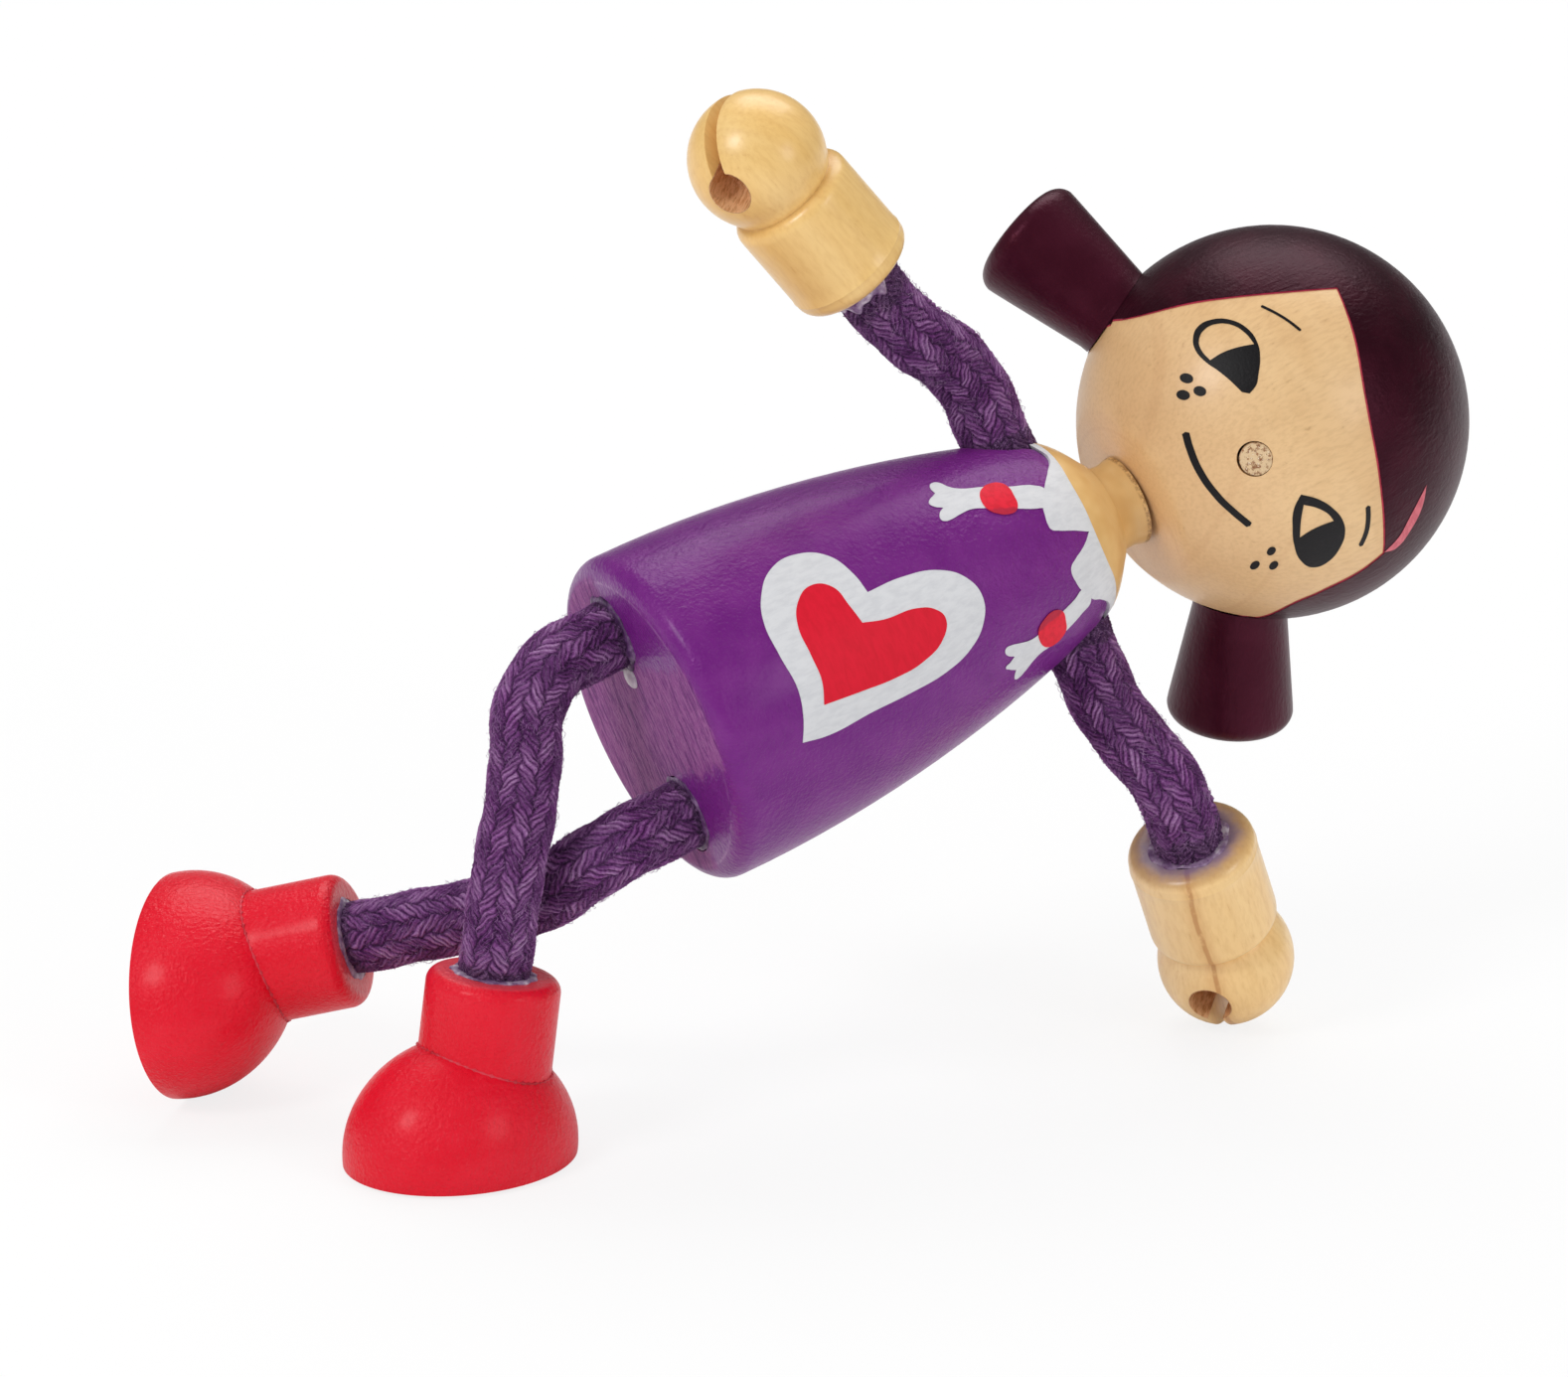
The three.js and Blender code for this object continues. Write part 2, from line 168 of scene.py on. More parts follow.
def put(piece, place):
    """Moves the piece's mesh to its place, and leaves its object at the origin."""
    piece.data.transform(place @ piece.matrix_world)
    piece.matrix_world = Matrix.Identity(4)
    return piece


def rod(radius, start, end):
    """A plain round cutter between two points, in the piece's own frame, in mm."""
    start, end = Vector(start), Vector(end)
    bpy.ops.mesh.primitive_cylinder_add(
        vertices=ROD_SIDES, radius=mm(radius), depth=mm((end - start).length))
    turned = (end - start).to_track_quat("Z", "Y").to_matrix().to_4x4()
    turned.translation = (start + end) / 2 * mm(1)
    return put(latest("rod"), turned)


def apply_last(piece):
    """Applies the piece's newest modifier."""
    bpy.context.view_layer.objects.active = piece
    bpy.ops.object.modifier_apply(modifier=piece.modifiers[-1].name)


def combine(piece, other, operation):
    """Cuts, joins or intersects the piece with another solid, which is then deleted."""
    cut = piece.modifiers.new("cut", "BOOLEAN")
    cut.operation = operation
    cut.solver = "EXACT"
    cut.object = other
    apply_last(piece)
    bpy.data.objects.remove(other)
    return piece


def drill(piece, radius, start, end):
    combine(piece, rod(radius, start, end), "DIFFERENCE")


def smooth(piece, angle=35):
    """Shades the piece smooth, except across edges sharper than the angle in degrees."""
    bpy.ops.object.select_all(action="DESELECT")
    piece.select_set(True)
    bpy.context.view_layer.objects.active = piece
    bpy.ops.object.shade_smooth_by_angle(angle=radians(angle))
    piece.select_set(False)
    return piece


def colour(hex_code):
    """An sRGB hex colour as linear RGBA."""
    values = [int(hex_code[i:i + 2], 16) / 255 for i in (1, 3, 5)]
    linear = [v / 12.92 if v <= 0.04045 else ((v + 0.055) / 1.055) ** 2.4 for v in values]
    return (*linear, 1)


def set_input(node, name, value):
    """Links another node's output to an input, or sets the input to a number or a hex colour."""
    if isinstance(value, bpy.types.NodeSocket):
        node.id_data.links.new(value, node.inputs[name])
    else:
        node.inputs[name].default_value = colour(value) if isinstance(value, str) else value


def add_node(near, kind, values=None):
    """Adds a node to the tree of another node or socket, with values for its inputs and settings."""
    node = near.id_data.nodes.new(kind)
    for name, value in (values or {}).items():
        if name in node.inputs:
            set_input(node, name, value)
        else:
            setattr(node, name, value)
    return node


def new_material(name, place=None, **shader_values):
    """A material, its shader, and coordinates in mm, in the frame of the piece if that is given."""
    material = bpy.data.materials.new(name)
    material.use_nodes = True
    shader = material.node_tree.nodes["Principled BSDF"]
    for socket, value in shader_values.items():
        set_input(shader, socket.replace("_", " "), value)
    coordinates = add_node(shader, "ShaderNodeTexCoord").outputs["Object"]
    mapping = {"Vector": coordinates, "Scale": (1000, 1000, 1000)}
    if place is not None:
        turn = place.to_3x3().transposed()
        mapping["Location"] = -1000 * (turn @ place.translation)
        mapping["Rotation"] = turn.to_euler()
    return material, shader, add_node(shader, "ShaderNodeMapping", mapping).outputs["Vector"]


def stretch(vector, scale):
    """A pattern's coordinates, stretched, so that 1 unit is one repeat."""
    return add_node(vector, "ShaderNodeMapping", {"Vector": vector, "Scale": scale}).outputs["Vector"]


def coordinate(vector, axis):
    return add_node(vector, "ShaderNodeSeparateXYZ", {"Vector": vector}).outputs[axis]


def noise(vector, scale=1.0, detail=3.0, roughness=0.55, distortion=0.0):
    return add_node(vector, "ShaderNodeTexNoise", {
        "Vector": vector, "Scale": scale, "Detail": detail, "Roughness": roughness,
        "Distortion": distortion}).outputs["Fac"]


def ramp(value, stops):
    """A colour ramp from (position, hex colour) pairs."""
    node = add_node(value, "ShaderNodeValToRGB", {"Fac": value})
    elements = node.color_ramp.elements
    while len(elements) < len(stops):
        elements.new(0.5)
    for element, (position, hex_colour) in zip(elements, stops):
        element.position = position
        element.color = colour(hex_colour)
    return node.outputs["Color"]


def mask(value, low, high):
    """0 at low, 1 at high, smooth between. Low may be the greater of the two."""
    values = {"Value": value, "interpolation_type": "SMOOTHSTEP", "From Min": low, "From Max": high}
    return add_node(value, "ShaderNodeMapRange", values).outputs["Result"]


def mix(where, first, second, blend="MIX"):
    """Two colours, each a socket or a hex colour: the first where the mask is 0, the second where it is 1."""
    node = add_node(where, "ShaderNodeMix", {"data_type": "RGBA", "blend_type": blend})
    for index, value in ((0, where), (6, first), (7, second)):
        set_input(node, index, value)
    return node.outputs[2]


def calculate(operation, first, second=0.0):
    """Arithmetic with sockets and numbers, of which one at least is a socket."""
    near = first if isinstance(first, bpy.types.NodeSocket) else second
    node = add_node(near, "ShaderNodeMath", {"operation": operation})
    set_input(node, 0, first)
    set_input(node, 1, second)
    return node.outputs["Value"]


def times(first, second):
    return calculate("MULTIPLY", first, second)


def plus(first, second):
    return calculate("ADD", first, second)


def off_axis(first, second):
    """How far a place is from an axis, from its two coordinates across the axis."""
    return calculate("SQRT", plus(calculate("POWER", first, 2.0), calculate("POWER", second, 2.0)))


def tint(shade, hex_colour, where, amount=1.0):
    """The shade with a colour mixed in by the amount, where the mask is 1."""
    return mix(times(where, amount), shade, hex_colour)


def emboss(shader, height, distance):
    """Bump on the shader from a height of 0 to 1 that stands for the distance in mm."""
    bump = add_node(shader, "ShaderNodeBump", {"Distance": mm(distance), "Height": height})
    if shader.inputs["Normal"].is_linked:
        set_input(bump, "Normal", shader.inputs["Normal"].links[0].from_socket)
    set_input(shader, "Normal", bump.outputs["Normal"])


def give(piece, *materials):
    """Replaces the piece's materials."""
    piece.data.materials.clear()
    for material in materials:
        piece.data.materials.append(material)
    return piece


def torso_outline(grown=0.0, steps=18):
    """The torso's outline up to its neck's waist, as (radius, height), with the grown skin added."""
    base = TORSO_BASE_RADIUS + grown
    low = -grown
    outline = [(ON_AXIS, low), (base - TORSO_BASE_ROUNDING, low)]
    outline += arc(base - TORSO_BASE_ROUNDING, low + TORSO_BASE_ROUNDING, TORSO_BASE_ROUNDING, -80, 0, 7)
    shoulder = (SHOULDER_RADIUS + grown, TORSO_LENGTH)
    side = bezier(
        outline[-1],
        (base + LOW_FULLNESS, LOW_FULLNESS_AT * TORSO_LENGTH),
        ((base + shoulder[0]) / 2 + HIGH_FULLNESS, HIGH_FULLNESS_AT * TORSO_LENGTH),
        shoulder, steps)
    outline += [point for point in side if point[1] < TORSO_LENGTH - SHOULDER_SOFTENED]
    radius, height = outline[-1]
    waist = (NECK_WAIST + grown, NECK_WAIST_HEIGHT)
    return outline + bezier(
        (radius, height), (radius - 0.95, height + 2.4), (waist[0], height + 3.1), waist, 14)


def neck_outline(grown=0.0):
    """The neck's outline from its waist up to the head."""
    waist = (NECK_WAIST + grown, NECK_WAIST_HEIGHT)
    top = (NECK_RADIUS + NECK_FLARE + grown, NECK_TOP + NECK_JOINT)
    flare = bezier(waist, (waist[0], NECK_TOP - 0.7), (top[0] - 0.1, NECK_TOP - 0.4), top, 6)
    return flare + [(ON_AXIS, top[1])]


torso = turn_on_lathe("painted_torso", torso_outline() + neck_outline(), 128)
leg_holes = {side: Vector((sign * LEG_HOLE_SPACING / 2, 0, 0)) for side, sign in SIDES.items()}
for side, sign in SIDES.items():
    leg_hole = leg_holes[side]
    drill(
        torso, CORD_HOLE_RADIUS,
        leg_hole - Vector((0, 0, CUTTER_REACH)), leg_hole + Vector((0, 0, LEG_HOLE_DEPTH)))
    drill(
        torso, CORD_HOLE_RADIUS,
        (sign * TORSO_BASE_RADIUS, 0, SHOULDER_HOLE_HEIGHT), (sign * ARM_HOLE_END, 0, SHOULDER_HOLE_HEIGHT))
drill(torso, NECK_DOWEL_HOLE, (0, 0, NECK_TOP - DOWEL_HOLE_DEPTH), (0, 0, NECK_TOP + CUTTER_REACH))


# Sprayed acrylic paint on turned wood: satin, a faint orange peel, with the lathe's fine rings
# and the long grain just felt under it. It is thinner on the rim and on the sawn end.
def painted_wood(name, place, hex_colour, thin_hex, roughness, grain, peel, shine=0.4, coat=0.1):
    material, shader, own = new_material(
        name, place, Specular_IOR_Level=shine, Coat_Weight=coat, Coat_Roughness=0.2)
    shade = mix(mask(noise(own, 0.35, 2), 0.3, 0.75), hex_colour, thin_hex)
    set_input(shader, "Base Color", shade)
    emboss(shader, noise(stretch(own, (5.0, 5.0, 0.35)), 1.0, 3), grain)
    emboss(shader, noise(own, 2.8, 2), peel)
    emboss(shader, noise(own, 6.5, 2), 0.3 * peel)
    uneven = {"Value": noise(own, 1.6, 3), "To Min": roughness - 0.05, "To Max": roughness + 0.09}
    set_input(shader, "Roughness", add_node(shader, "ShaderNodeMapRange", uneven).outputs["Result"])
    return material, shader, own, shade


# The saw's marks on the flat end: bare and dull, in streaks from dark to light purple, with fine
# pale scratches.
SAW_STREAKS = ((0.38, "#571F5F"), (0.46, "#79397B"), (0.54, "#AA659E"), (0.62, "#6A2E70"))
SAW_RELIEF = 0.1
SAWN_EXTRA_ROUGHNESS = 0.5
THIN_HALF_WIDTH = 4.6
PAINT_LINE = 0.03
PAINTED_TO = -1.5


def sawn_end(shader, own, shade):
    """Below the paint line the paint is thin, and the saw's streaks show through it.

    Along the front the spray reached in under the edge, as far as PAINTED_TO."""
    streaks = noise(stretch(own, (0.25, 2.2, 1.0)), 1.0, 6, 0.75, 0.4)
    scratches = noise(stretch(own, (0.8, 6.0, 1.0)), 1.0, 4, 0.75, 0.3)
    bare = tint(ramp(streaks, SAW_STREAKS), "#C288B6", mask(scratches, 0.54, 0.62), 0.6)
    wander = times(plus(noise(own, 0.3, 5, 0.65), -0.5), 6.0)
    behind = mask(plus(coordinate(own, "Y"), wander), PAINTED_TO, PAINTED_TO + 1.6)
    off_middle = plus(calculate("ABSOLUTE", coordinate(own, "X")), wander)
    thin = calculate("MAXIMUM", behind, mask(off_middle, THIN_HALF_WIDTH, THIN_HALF_WIDTH - 1.4))
    on_end = mask(coordinate(own, "Z"), PAINT_LINE + 0.1, PAINT_LINE - 0.1)
    set_input(shader, "Base Color", mix(on_end, shade, mix(thin, shade, bare)))
    sawn = times(on_end, thin)
    painted_roughness = shader.inputs["Roughness"].links[0].from_socket
    set_input(shader, "Roughness", plus(painted_roughness, times(sawn, SAWN_EXTRA_ROUGHNESS)))
    coat = shader.inputs["Coat Weight"].default_value
    set_input(shader, "Coat Weight", times(calculate("SUBTRACT", 1.0, sawn), coat))
    emboss(shader, times(streaks, sawn), SAW_RELIEF)


# Purple acrylic, worn to a thin pale line along the rim of the flat end; the pale line is also a painted
# highlight on the edge where the rounding starts.
purple_paint, shader, own, shade = painted_wood(
    "purple_acrylic", torso_frame, "#6E1A7B", "#782783", 0.32, 0.02, 0.13, coat=0.16)
set_input(shader, "Specular Tint", "#F0B4F0")
crest = TORSO_BASE_RADIUS - TORSO_BASE_ROUNDING
from_crest = calculate("ABSOLUTE", plus(off_axis(coordinate(own, "X"), coordinate(own, "Y")), -crest))
# The pale rim line is worn paint and a painted highlight along the edge of the rounding.
rim_wear_and_painted_highlight = times(mask(from_crest, 0.16, 0.03), mask(coordinate(own, "Z"), 1.0, 0.5))
rim_wear_and_painted_highlight = times(rim_wear_and_painted_highlight, mask(noise(own, 0.8, 3), 0.35, 0.55))
sawn_end(shader, own, tint(shade, "#9E6BA3", rim_wear_and_painted_highlight, 0.6))

# Cream lacquer on the neck, browned in a ragged line where it meets the head.
cream_paint, shader, own, shade = painted_wood(
    "cream_lacquer", torso_frame, "#E8C182", "#DAAB68", 0.32, 0.006, 0.01)
browned = mask(coordinate(own, "Z"), NECK_TOP - 0.26, NECK_TOP - 0.08)
browned = times(browned, mask(noise(own, 3.6, 4, 0.75), 0.34, 0.6))
set_input(shader, "Base Color", tint(shade, "#8A5C30", browned, 0.75))

give(torso, purple_paint, cream_paint)
for polygon in torso.data.polygons:
    polygon.material_index = 1 if polygon.center.z > mm(CREAM_FROM) else 0
put(torso, torso_frame)
smooth(torso)
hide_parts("torso")
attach(torso, "torso_body")


# Painted front
# Brushed on by hand in acrylic: a grey-white collar with a V at the throat, two drawstrings with
# red beads and split ends, and a heart with a wide grey-white edge. Each is a thin film of paint.

PAINT = 0.05
BRUSHED_RELIEF = 0.015


def curve_mesh(name, curve):
    """The mesh object that a curve makes."""
    piece = bpy.data.objects.new(name, curve)
    bpy.context.scene.collection.objects.link(piece)
    piece.select_set(True)
    bpy.context.view_layer.objects.active = piece
    bpy.ops.object.convert(target="MESH")
    piece = bpy.context.object
    piece.select_set(False)
    bpy.context.view_layer.objects.active = piece
    return piece


def flat_outline(name, splines, front, back):
    """A prism from outlines in mm across and up, between two depths along the frame's Y.

    A point is (across, up), or (across, up, "corner") where the outline turns sharply."""
    curve = bpy.data.curves.new(name, "CURVE")
    curve.dimensions = "2D"
    curve.fill_mode = "BOTH"
    curve.resolution_u = 8
    curve.extrude = mm(abs(back - front)) / 2
    for points in splines:
        spline = curve.splines.new("BEZIER")
        spline.bezier_points.add(len(points) - 1)
        spline.use_cyclic_u = True
        for knot, (across, up, *corner) in zip(spline.bezier_points, points):
            knot.co = (mm(across), mm(up), 0)
            kind = "VECTOR" if corner else "AUTO"
            knot.handle_left_type = kind
            knot.handle_right_type = kind
    prism = curve_mesh(name, curve)
    bpy.ops.object.mode_set(mode="EDIT")
    bpy.ops.mesh.select_all(action="SELECT")
    bpy.ops.mesh.remove_doubles(threshold=mm(0.0005))
    bpy.ops.mesh.normals_make_consistent(inside=False)
    bpy.ops.object.mode_set(mode="OBJECT")
    middle = mm(front + back) / 2
    return put(prism, Matrix(((1, 0, 0, 0), (0, 0, -1, middle), (0, 1, 0, 0), (0, 0, 0, 1))))


# Brushed acrylic: nearly matt, a little streaked, with the brush's low ridges.
def brushed_paint(name, hex_colour, thin_hex, place, strokes, roughness=0.45):
    material, shader, own = new_material(name, place, Roughness=roughness, Specular_IOR_Level=0.2)
    brush = noise(stretch(own, strokes), 1.0, 4, 0.6, 0.3)
    set_input(shader, "Base Color", mix(mask(brush, 0.35, 0.72), hex_colour, thin_hex))
    emboss(shader, brush, BRUSHED_RELIEF)
    emboss(shader, noise(own, 4.0, 2), 0.01)
    return material


grey_white_paint = brushed_paint(
    "grey_white_acrylic", "#DCDDE0", "#D1D2D6", torso_frame, (2.6, 2.6, 0.8))
red_paint_on_grey = brushed_paint(
    "red_acrylic", "#E0122F", "#D60F2A", torso_frame, (0.8, 2.6, 2.6), 0.55)

BEAD_HEIGHT = 27.0
BEAD_EDGE = {"right": (-4.0, 0.35), "left": (4.35, -0.2)}


# The beads' thin red: pure on the grey-white string, and maroon where it runs over onto the purple,
# past an edge that is given as its place across and its slant.
def bead_paint(side):
    across, slant = BEAD_EDGE[side]
    material, shader, own = new_material(
        side + "_bead_red", torso_frame, Roughness=0.5, Specular_IOR_Level=0.25)
    edge = times(plus(coordinate(own, "Z"), -BEAD_HEIGHT), -slant)
    beyond = times(plus(plus(coordinate(own, "X"), -across), edge), -SIDES[side])
    brush = noise(own, 2.4, 4, 0.65)
    over_purple = mask(plus(beyond, times(brush, 0.3)), 0.05, 0.3)
    shade = mix(mask(brush, 0.4, 0.65), "#E81835", "#D8102C")
    set_input(shader, "Base Color", tint(shade, "#96203F", over_purple, 0.6))
    emboss(shader, brush, 0.02)
    return material


HEART_EDGE = [
    (0.57, 22.06), (2.2, 21.4), (3.4, 19.9), (4.1, 17.6), (4.3, 14.41), (4.3, 11.3), (4.42, 7.6),
    (4.1, 5.6, "corner"), (2.6, 6.15), (0.6, 6.5), (-2.06, 6.27), (-4.4, 6.4), (-6.0, 7.3),
    (-7.2, 9.0), (-7.35, 11.2), (-6.4, 13.1), (-4.7, 13.95), (-3.2, 14.2, "corner"),
    (-3.1, 17.0), (-2.4, 19.85), (-1.1, 21.5)]
HEART_MIDDLE = [
    (0.7, 18.75), (1.9, 18.0), (2.7, 16.0), (2.85, 13.6), (2.65, 11.0), (2.35, 7.9, "corner"),
    (0.8, 8.35), (-1.1, 8.35), (-3.26, 8.45), (-4.6, 9.3), (-5.2, 10.8), (-4.5, 12.1),
    (-2.95, 12.5), (-1.55, 12.8, "corner"), (-1.1, 14.4), (-0.8, 17.0), (-0.15, 18.3)]
COLLAR = [
    (-7.4, 32.3, "corner"), (-6.2, 32.5), (-5.47, 32.6), (-4.73, 31.6), (-4.1, 30.7), (-3.0, 29.6),
    (-2.4, 29.38), (-1.8, 29.24), (-1.4, 29.3), (-1.07, 29.85), (-0.59, 31.0), (-0.05, 32.1, "corner"),
    (0.4, 31.6), (0.74, 31.1), (1.19, 30.2), (1.54, 29.67), (1.91, 29.54), (2.66, 29.68), (3.31, 29.95),
    (4.4, 30.9), (4.75, 31.7), (5.47, 32.6), (7.4, 32.7, "corner"), (7.4, CREAM_FROM + 0.1, "corner"),
    (-7.4, CREAM_FROM + 0.1, "corner")]
CREAM_EDGE = [
    (-7.4, 32.9, "corner"), (-6.2, 33.05), (-5.26, 32.98), (-3.56, 32.68), (-1.58, 32.6), (0.37, 32.56),
    (2.42, 32.8), (4.29, 33.3), (7.4, 33.5, "corner"), (7.4, TORSO_LENGTH + 1.4, "corner"),
    (-7.4, TORSO_LENGTH + 1.4, "corner")]
DRAWSTRINGS = {
    "right": [
        (-3.9, 30.5), (-4.45, 29.9), (-4.78, 29.15), (-5.05, 28.3), (-5.8, 26.5), (-6.52, 24.57),
        (-6.88, 24.11), (-7.28, 23.81), (-7.46, 23.44), (-7.38, 23.04), (-7.14, 22.9),
        (-6.84, 22.95, "corner"), (-6.77, 22.69), (-6.65, 22.25), (-6.45, 22.01), (-6.2, 22.14),
        (-5.84, 22.72, "corner"), (-5.61, 22.2), (-5.24, 22.01), (-5.03, 22.25), (-4.97, 22.65),
        (-5.0, 23.61), (-4.96, 24.48), (-4.6, 25.51), (-3.62, 27.71), (-2.98, 29.3), (-2.9, 29.8)],
    "left": [
        (4.35, 30.7), (5.0, 29.6), (5.4, 28.6), (5.75, 27.4), (6.04, 26.4), (6.12, 25.73),
        (6.36, 25.01), (6.8, 24.2), (7.05, 23.6), (7.02, 23.24), (6.76, 23.18),
        (6.4, 23.34, "corner"), (6.1, 22.72), (5.87, 22.44), (5.66, 22.86), (5.41, 23.3, "corner"),
        (5.04, 22.67), (4.72, 22.57), (4.55, 22.73), (4.54, 23.17), (4.7, 23.92), (4.86, 24.77),
        (4.8, 25.6), (4.11, 28.03), (3.75, 29.2), (3.4, 30.2)],
}
BEADS = {
    "right": [
        (-5.8, 26.3), (-5.83, 27.0), (-5.57, 27.75), (-5.1, 28.08), (-4.46, 28.03), (-3.91, 27.9),
        (-3.57, 27.55), (-3.57, 26.85), (-3.93, 26.11), (-4.44, 25.62), (-5.0, 25.53), (-5.55, 25.8)],
    "left": [
        (4.15, 28.03), (4.86, 28.15), (5.48, 28.12), (5.85, 27.71), (6.05, 27.08), (6.03, 26.46),
        (5.78, 25.96), (5.3, 25.65), (4.73, 25.59), (4.34, 25.77), (3.96, 26.36),
        (3.76, 26.91), (3.82, 27.6)],
}


def torso_skin(thickness):
    """The torso's outer form, grown by a layer of paint."""
    outline = torso_outline(thickness, 40)
    return turn_on_lathe("skin", outline + [(ON_AXIS, outline[-1][1])], 160)


def finish_piece(piece, material, place, sharp=35):
    """Gives the piece its material, moves it from its own frame to its place, and shades it."""
    give(piece, material)
    put(piece, place)
    smooth(piece, sharp)


def paint_on_torso(name, splines, thickness, front, back, material):
    outline = flat_outline(name + "_outline", splines, front, back)
    film = combine(torso_skin(thickness), outline, "INTERSECT")
    film.name = name
    finish_piece(film, material, torso_frame)
    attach(film, "torso_body")


paint_on_torso("heart_edge", [HEART_EDGE], PAINT, -13, -7, grey_white_paint)
paint_on_torso("heart_middle", [HEART_MIDDLE], 1.6 * PAINT, -13, -8, red_paint_on_grey)
paint_on_torso("collar_front", [COLLAR], 0.8 * PAINT, -10, -0.5, grey_white_paint)
paint_on_torso("cream_shoulder", [CREAM_EDGE], 1.1 * PAINT, -10, -0.5, cream_paint)
for side in ("right", "left"):
    paint_on_torso(side + "_drawstring", [DRAWSTRINGS[side]], PAINT, -11, -2, grey_white_paint)
    paint_on_torso(side + "_bead", [BEADS[side]], 1.7 * PAINT, -11, -2, bead_paint(side))


# Head
# A ball turned from pale close-grained wood, with a flat seat for the neck and a hole for its
# dowel. The face is clear lacquered, so that the wood's rings show as faint curved lines.

HEAD_RADIUS = 13.5
HEAD_SEAT = 12.0
HEAD_LEAN = 3

head_frame = torso_frame.copy()
head_frame.translation = joint_place("head_turn")
head_frame = head_frame @ Matrix.Rotation(radians(-HEAD_LEAN), 4, "Y")
head_frame = head_frame @ Matrix.Translation((0, 0, mm(HEAD_SEAT)))


def cut_flat(piece, height, normal):
    """Cuts the piece off flat at a height, in metres, on the side of the normal, and closes it."""
    bpy.context.view_layer.objects.active = piece
    bpy.ops.object.mode_set(mode="EDIT")
    bpy.ops.mesh.select_all(action="SELECT")
    bpy.ops.mesh.bisect(plane_co=(0, 0, height), plane_no=(0, 0, normal), clear_outer=True, use_fill=True)
    bpy.ops.mesh.select_all(action="SELECT")
    bpy.ops.mesh.normals_make_consistent(inside=False)
    bpy.ops.object.mode_set(mode="OBJECT")


def head_ball(name, grown, segments=128):
    """The head's ball about its middle, grown by a layer of paint, with the seat cut flat."""
    bpy.ops.mesh.primitive_uv_sphere_add(
        segments=segments, ring_count=segments // 2, radius=mm(HEAD_RADIUS + grown))
    piece = latest(name)
    cut_flat(piece, -mm(HEAD_SEAT), -1)
    return piece


NOSE_DROP = 31
NOSE_HOLE_RADIUS = 1.24
NOSE_HOLE_FOOT = 8.2
NOSE_HOLE_SHIFT = Vector((-0.05, 0, -0.07))
nose_out = Vector((0, -cos(radians(NOSE_DROP)), -sin(radians(NOSE_DROP))))

head = head_ball("wooden_head", 0)
drill(head, NECK_DOWEL_HOLE, (0, 0, -HEAD_SEAT - CUTTER_REACH), (0, 0, DOWEL_HOLE_DEPTH - HEAD_SEAT))
drill(
    head, NOSE_HOLE_RADIUS,
    nose_out * (HEAD_RADIUS + 1.5) + NOSE_HOLE_SHIFT, nose_out * NOSE_HOLE_FOOT + NOSE_HOLE_SHIFT)


def waves(vector, **settings):
    """A pattern of soft waves, for the wood's rings."""
    values = {name.replace("__", " "): value for name, value in settings.items()}
    return add_node(vector, "ShaderNodeTexWave", {"Vector": vector, **values}).outputs["Fac"]


# Maple or beech under clear lacquer: pale honey, with rings that barely show, short darker pores,
# and a soft gloss.
def clear_wood(name, place, light, middle, dark, ring_scale, pore_scale, gloss, rings, ticks):
    material, shader, own = new_material(
        name, place, Roughness=gloss, Coat_Weight=0.2, Coat_Roughness=0.22)
    in_rings = stretch(own, ring_scale)
    bands = waves(
        in_rings, wave_type="BANDS", bands_direction="X", wave_profile="SIN",
        Scale=0.5, Distortion=2.2, Detail=2.0, Detail__Scale=0.5)
    shade = mix(mask(noise(in_rings, 0.35, 3, 0.6), 0.3, 0.7), light, middle)
    shade = tint(shade, dark, mask(bands, 0.6, 1.0), rings)
    pores = noise(stretch(own, pore_scale), 1.0, 3, 0.6)
    shade = tint(shade, dark, mask(pores, 0.4, 0.65), 0.14)
    in_patches = mask(noise(own, 0.6, 2), 0.4, 0.65)
    shade = tint(shade, dark, times(mask(pores, 0.63, 0.72), in_patches), ticks)
    emboss(shader, pores, 0.012)
    emboss(shader, noise(own, 2.4, 2), 0.012)
    return material, shader, own, shade


# The face's own wood, with a few warm rings about a knot below the cheek and a darker jaw.
face_wood, shader, own, shade = clear_wood(
    "lacquered_maple", head_frame, "#EEC894", "#E3B983", "#A9764A",
    (0.16, 0.16, 0.42), (4.0, 4.0, 1.0), 0.42, 0.04, 0.35)
jaw = mask(coordinate(own, "Z"), -3.0, -8.5)
about_knot = add_node(own, "ShaderNodeMapping", {"Vector": own, "Location": (-3.0, 0.0, -4.0)})
year_rings = waves(
    about_knot.outputs["Vector"], wave_type="RINGS", rings_direction="SPHERICAL", wave_profile="SIN",
    Scale=0.2, Distortion=1.2, Detail=2.0, Detail__Scale=0.1)
shade = tint(shade, "#B06A3A", times(jaw, mask(year_rings, 0.96, 1.0)), 0.1)
set_input(shader, "Base Color", tint(shade, "#CE9767", jaw, 0.14))
finish_piece(head, face_wood, head_frame)
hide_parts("head")
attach(head, "head_body")


# Nose
# The end of a short dowel that is knocked into a hole in the face. It is cut across the grain,
# so its face is all open pores, and it stands a little proud with a broken edge.

NOSE_RADIUS = 1.15
NOSE_LENGTH = 4.9

nose_side = Vector((1, 0, 0))
nose_frame = head_frame @ frame_of(
    nose_out * mm(HEAD_RADIUS), nose_side, nose_out.cross(nose_side), nose_out)
nose_outline = [(ON_AXIS, -NOSE_LENGTH), (NOSE_RADIUS, -NOSE_LENGTH)]
nose_outline += arc(NOSE_RADIUS - 0.2, -0.14, 0.2, 0, 80, 5) + [(0.45, 0.1), (ON_AXIS, 0.12)]
nose = turn_on_lathe("nose_plug_end", nose_outline, 48)

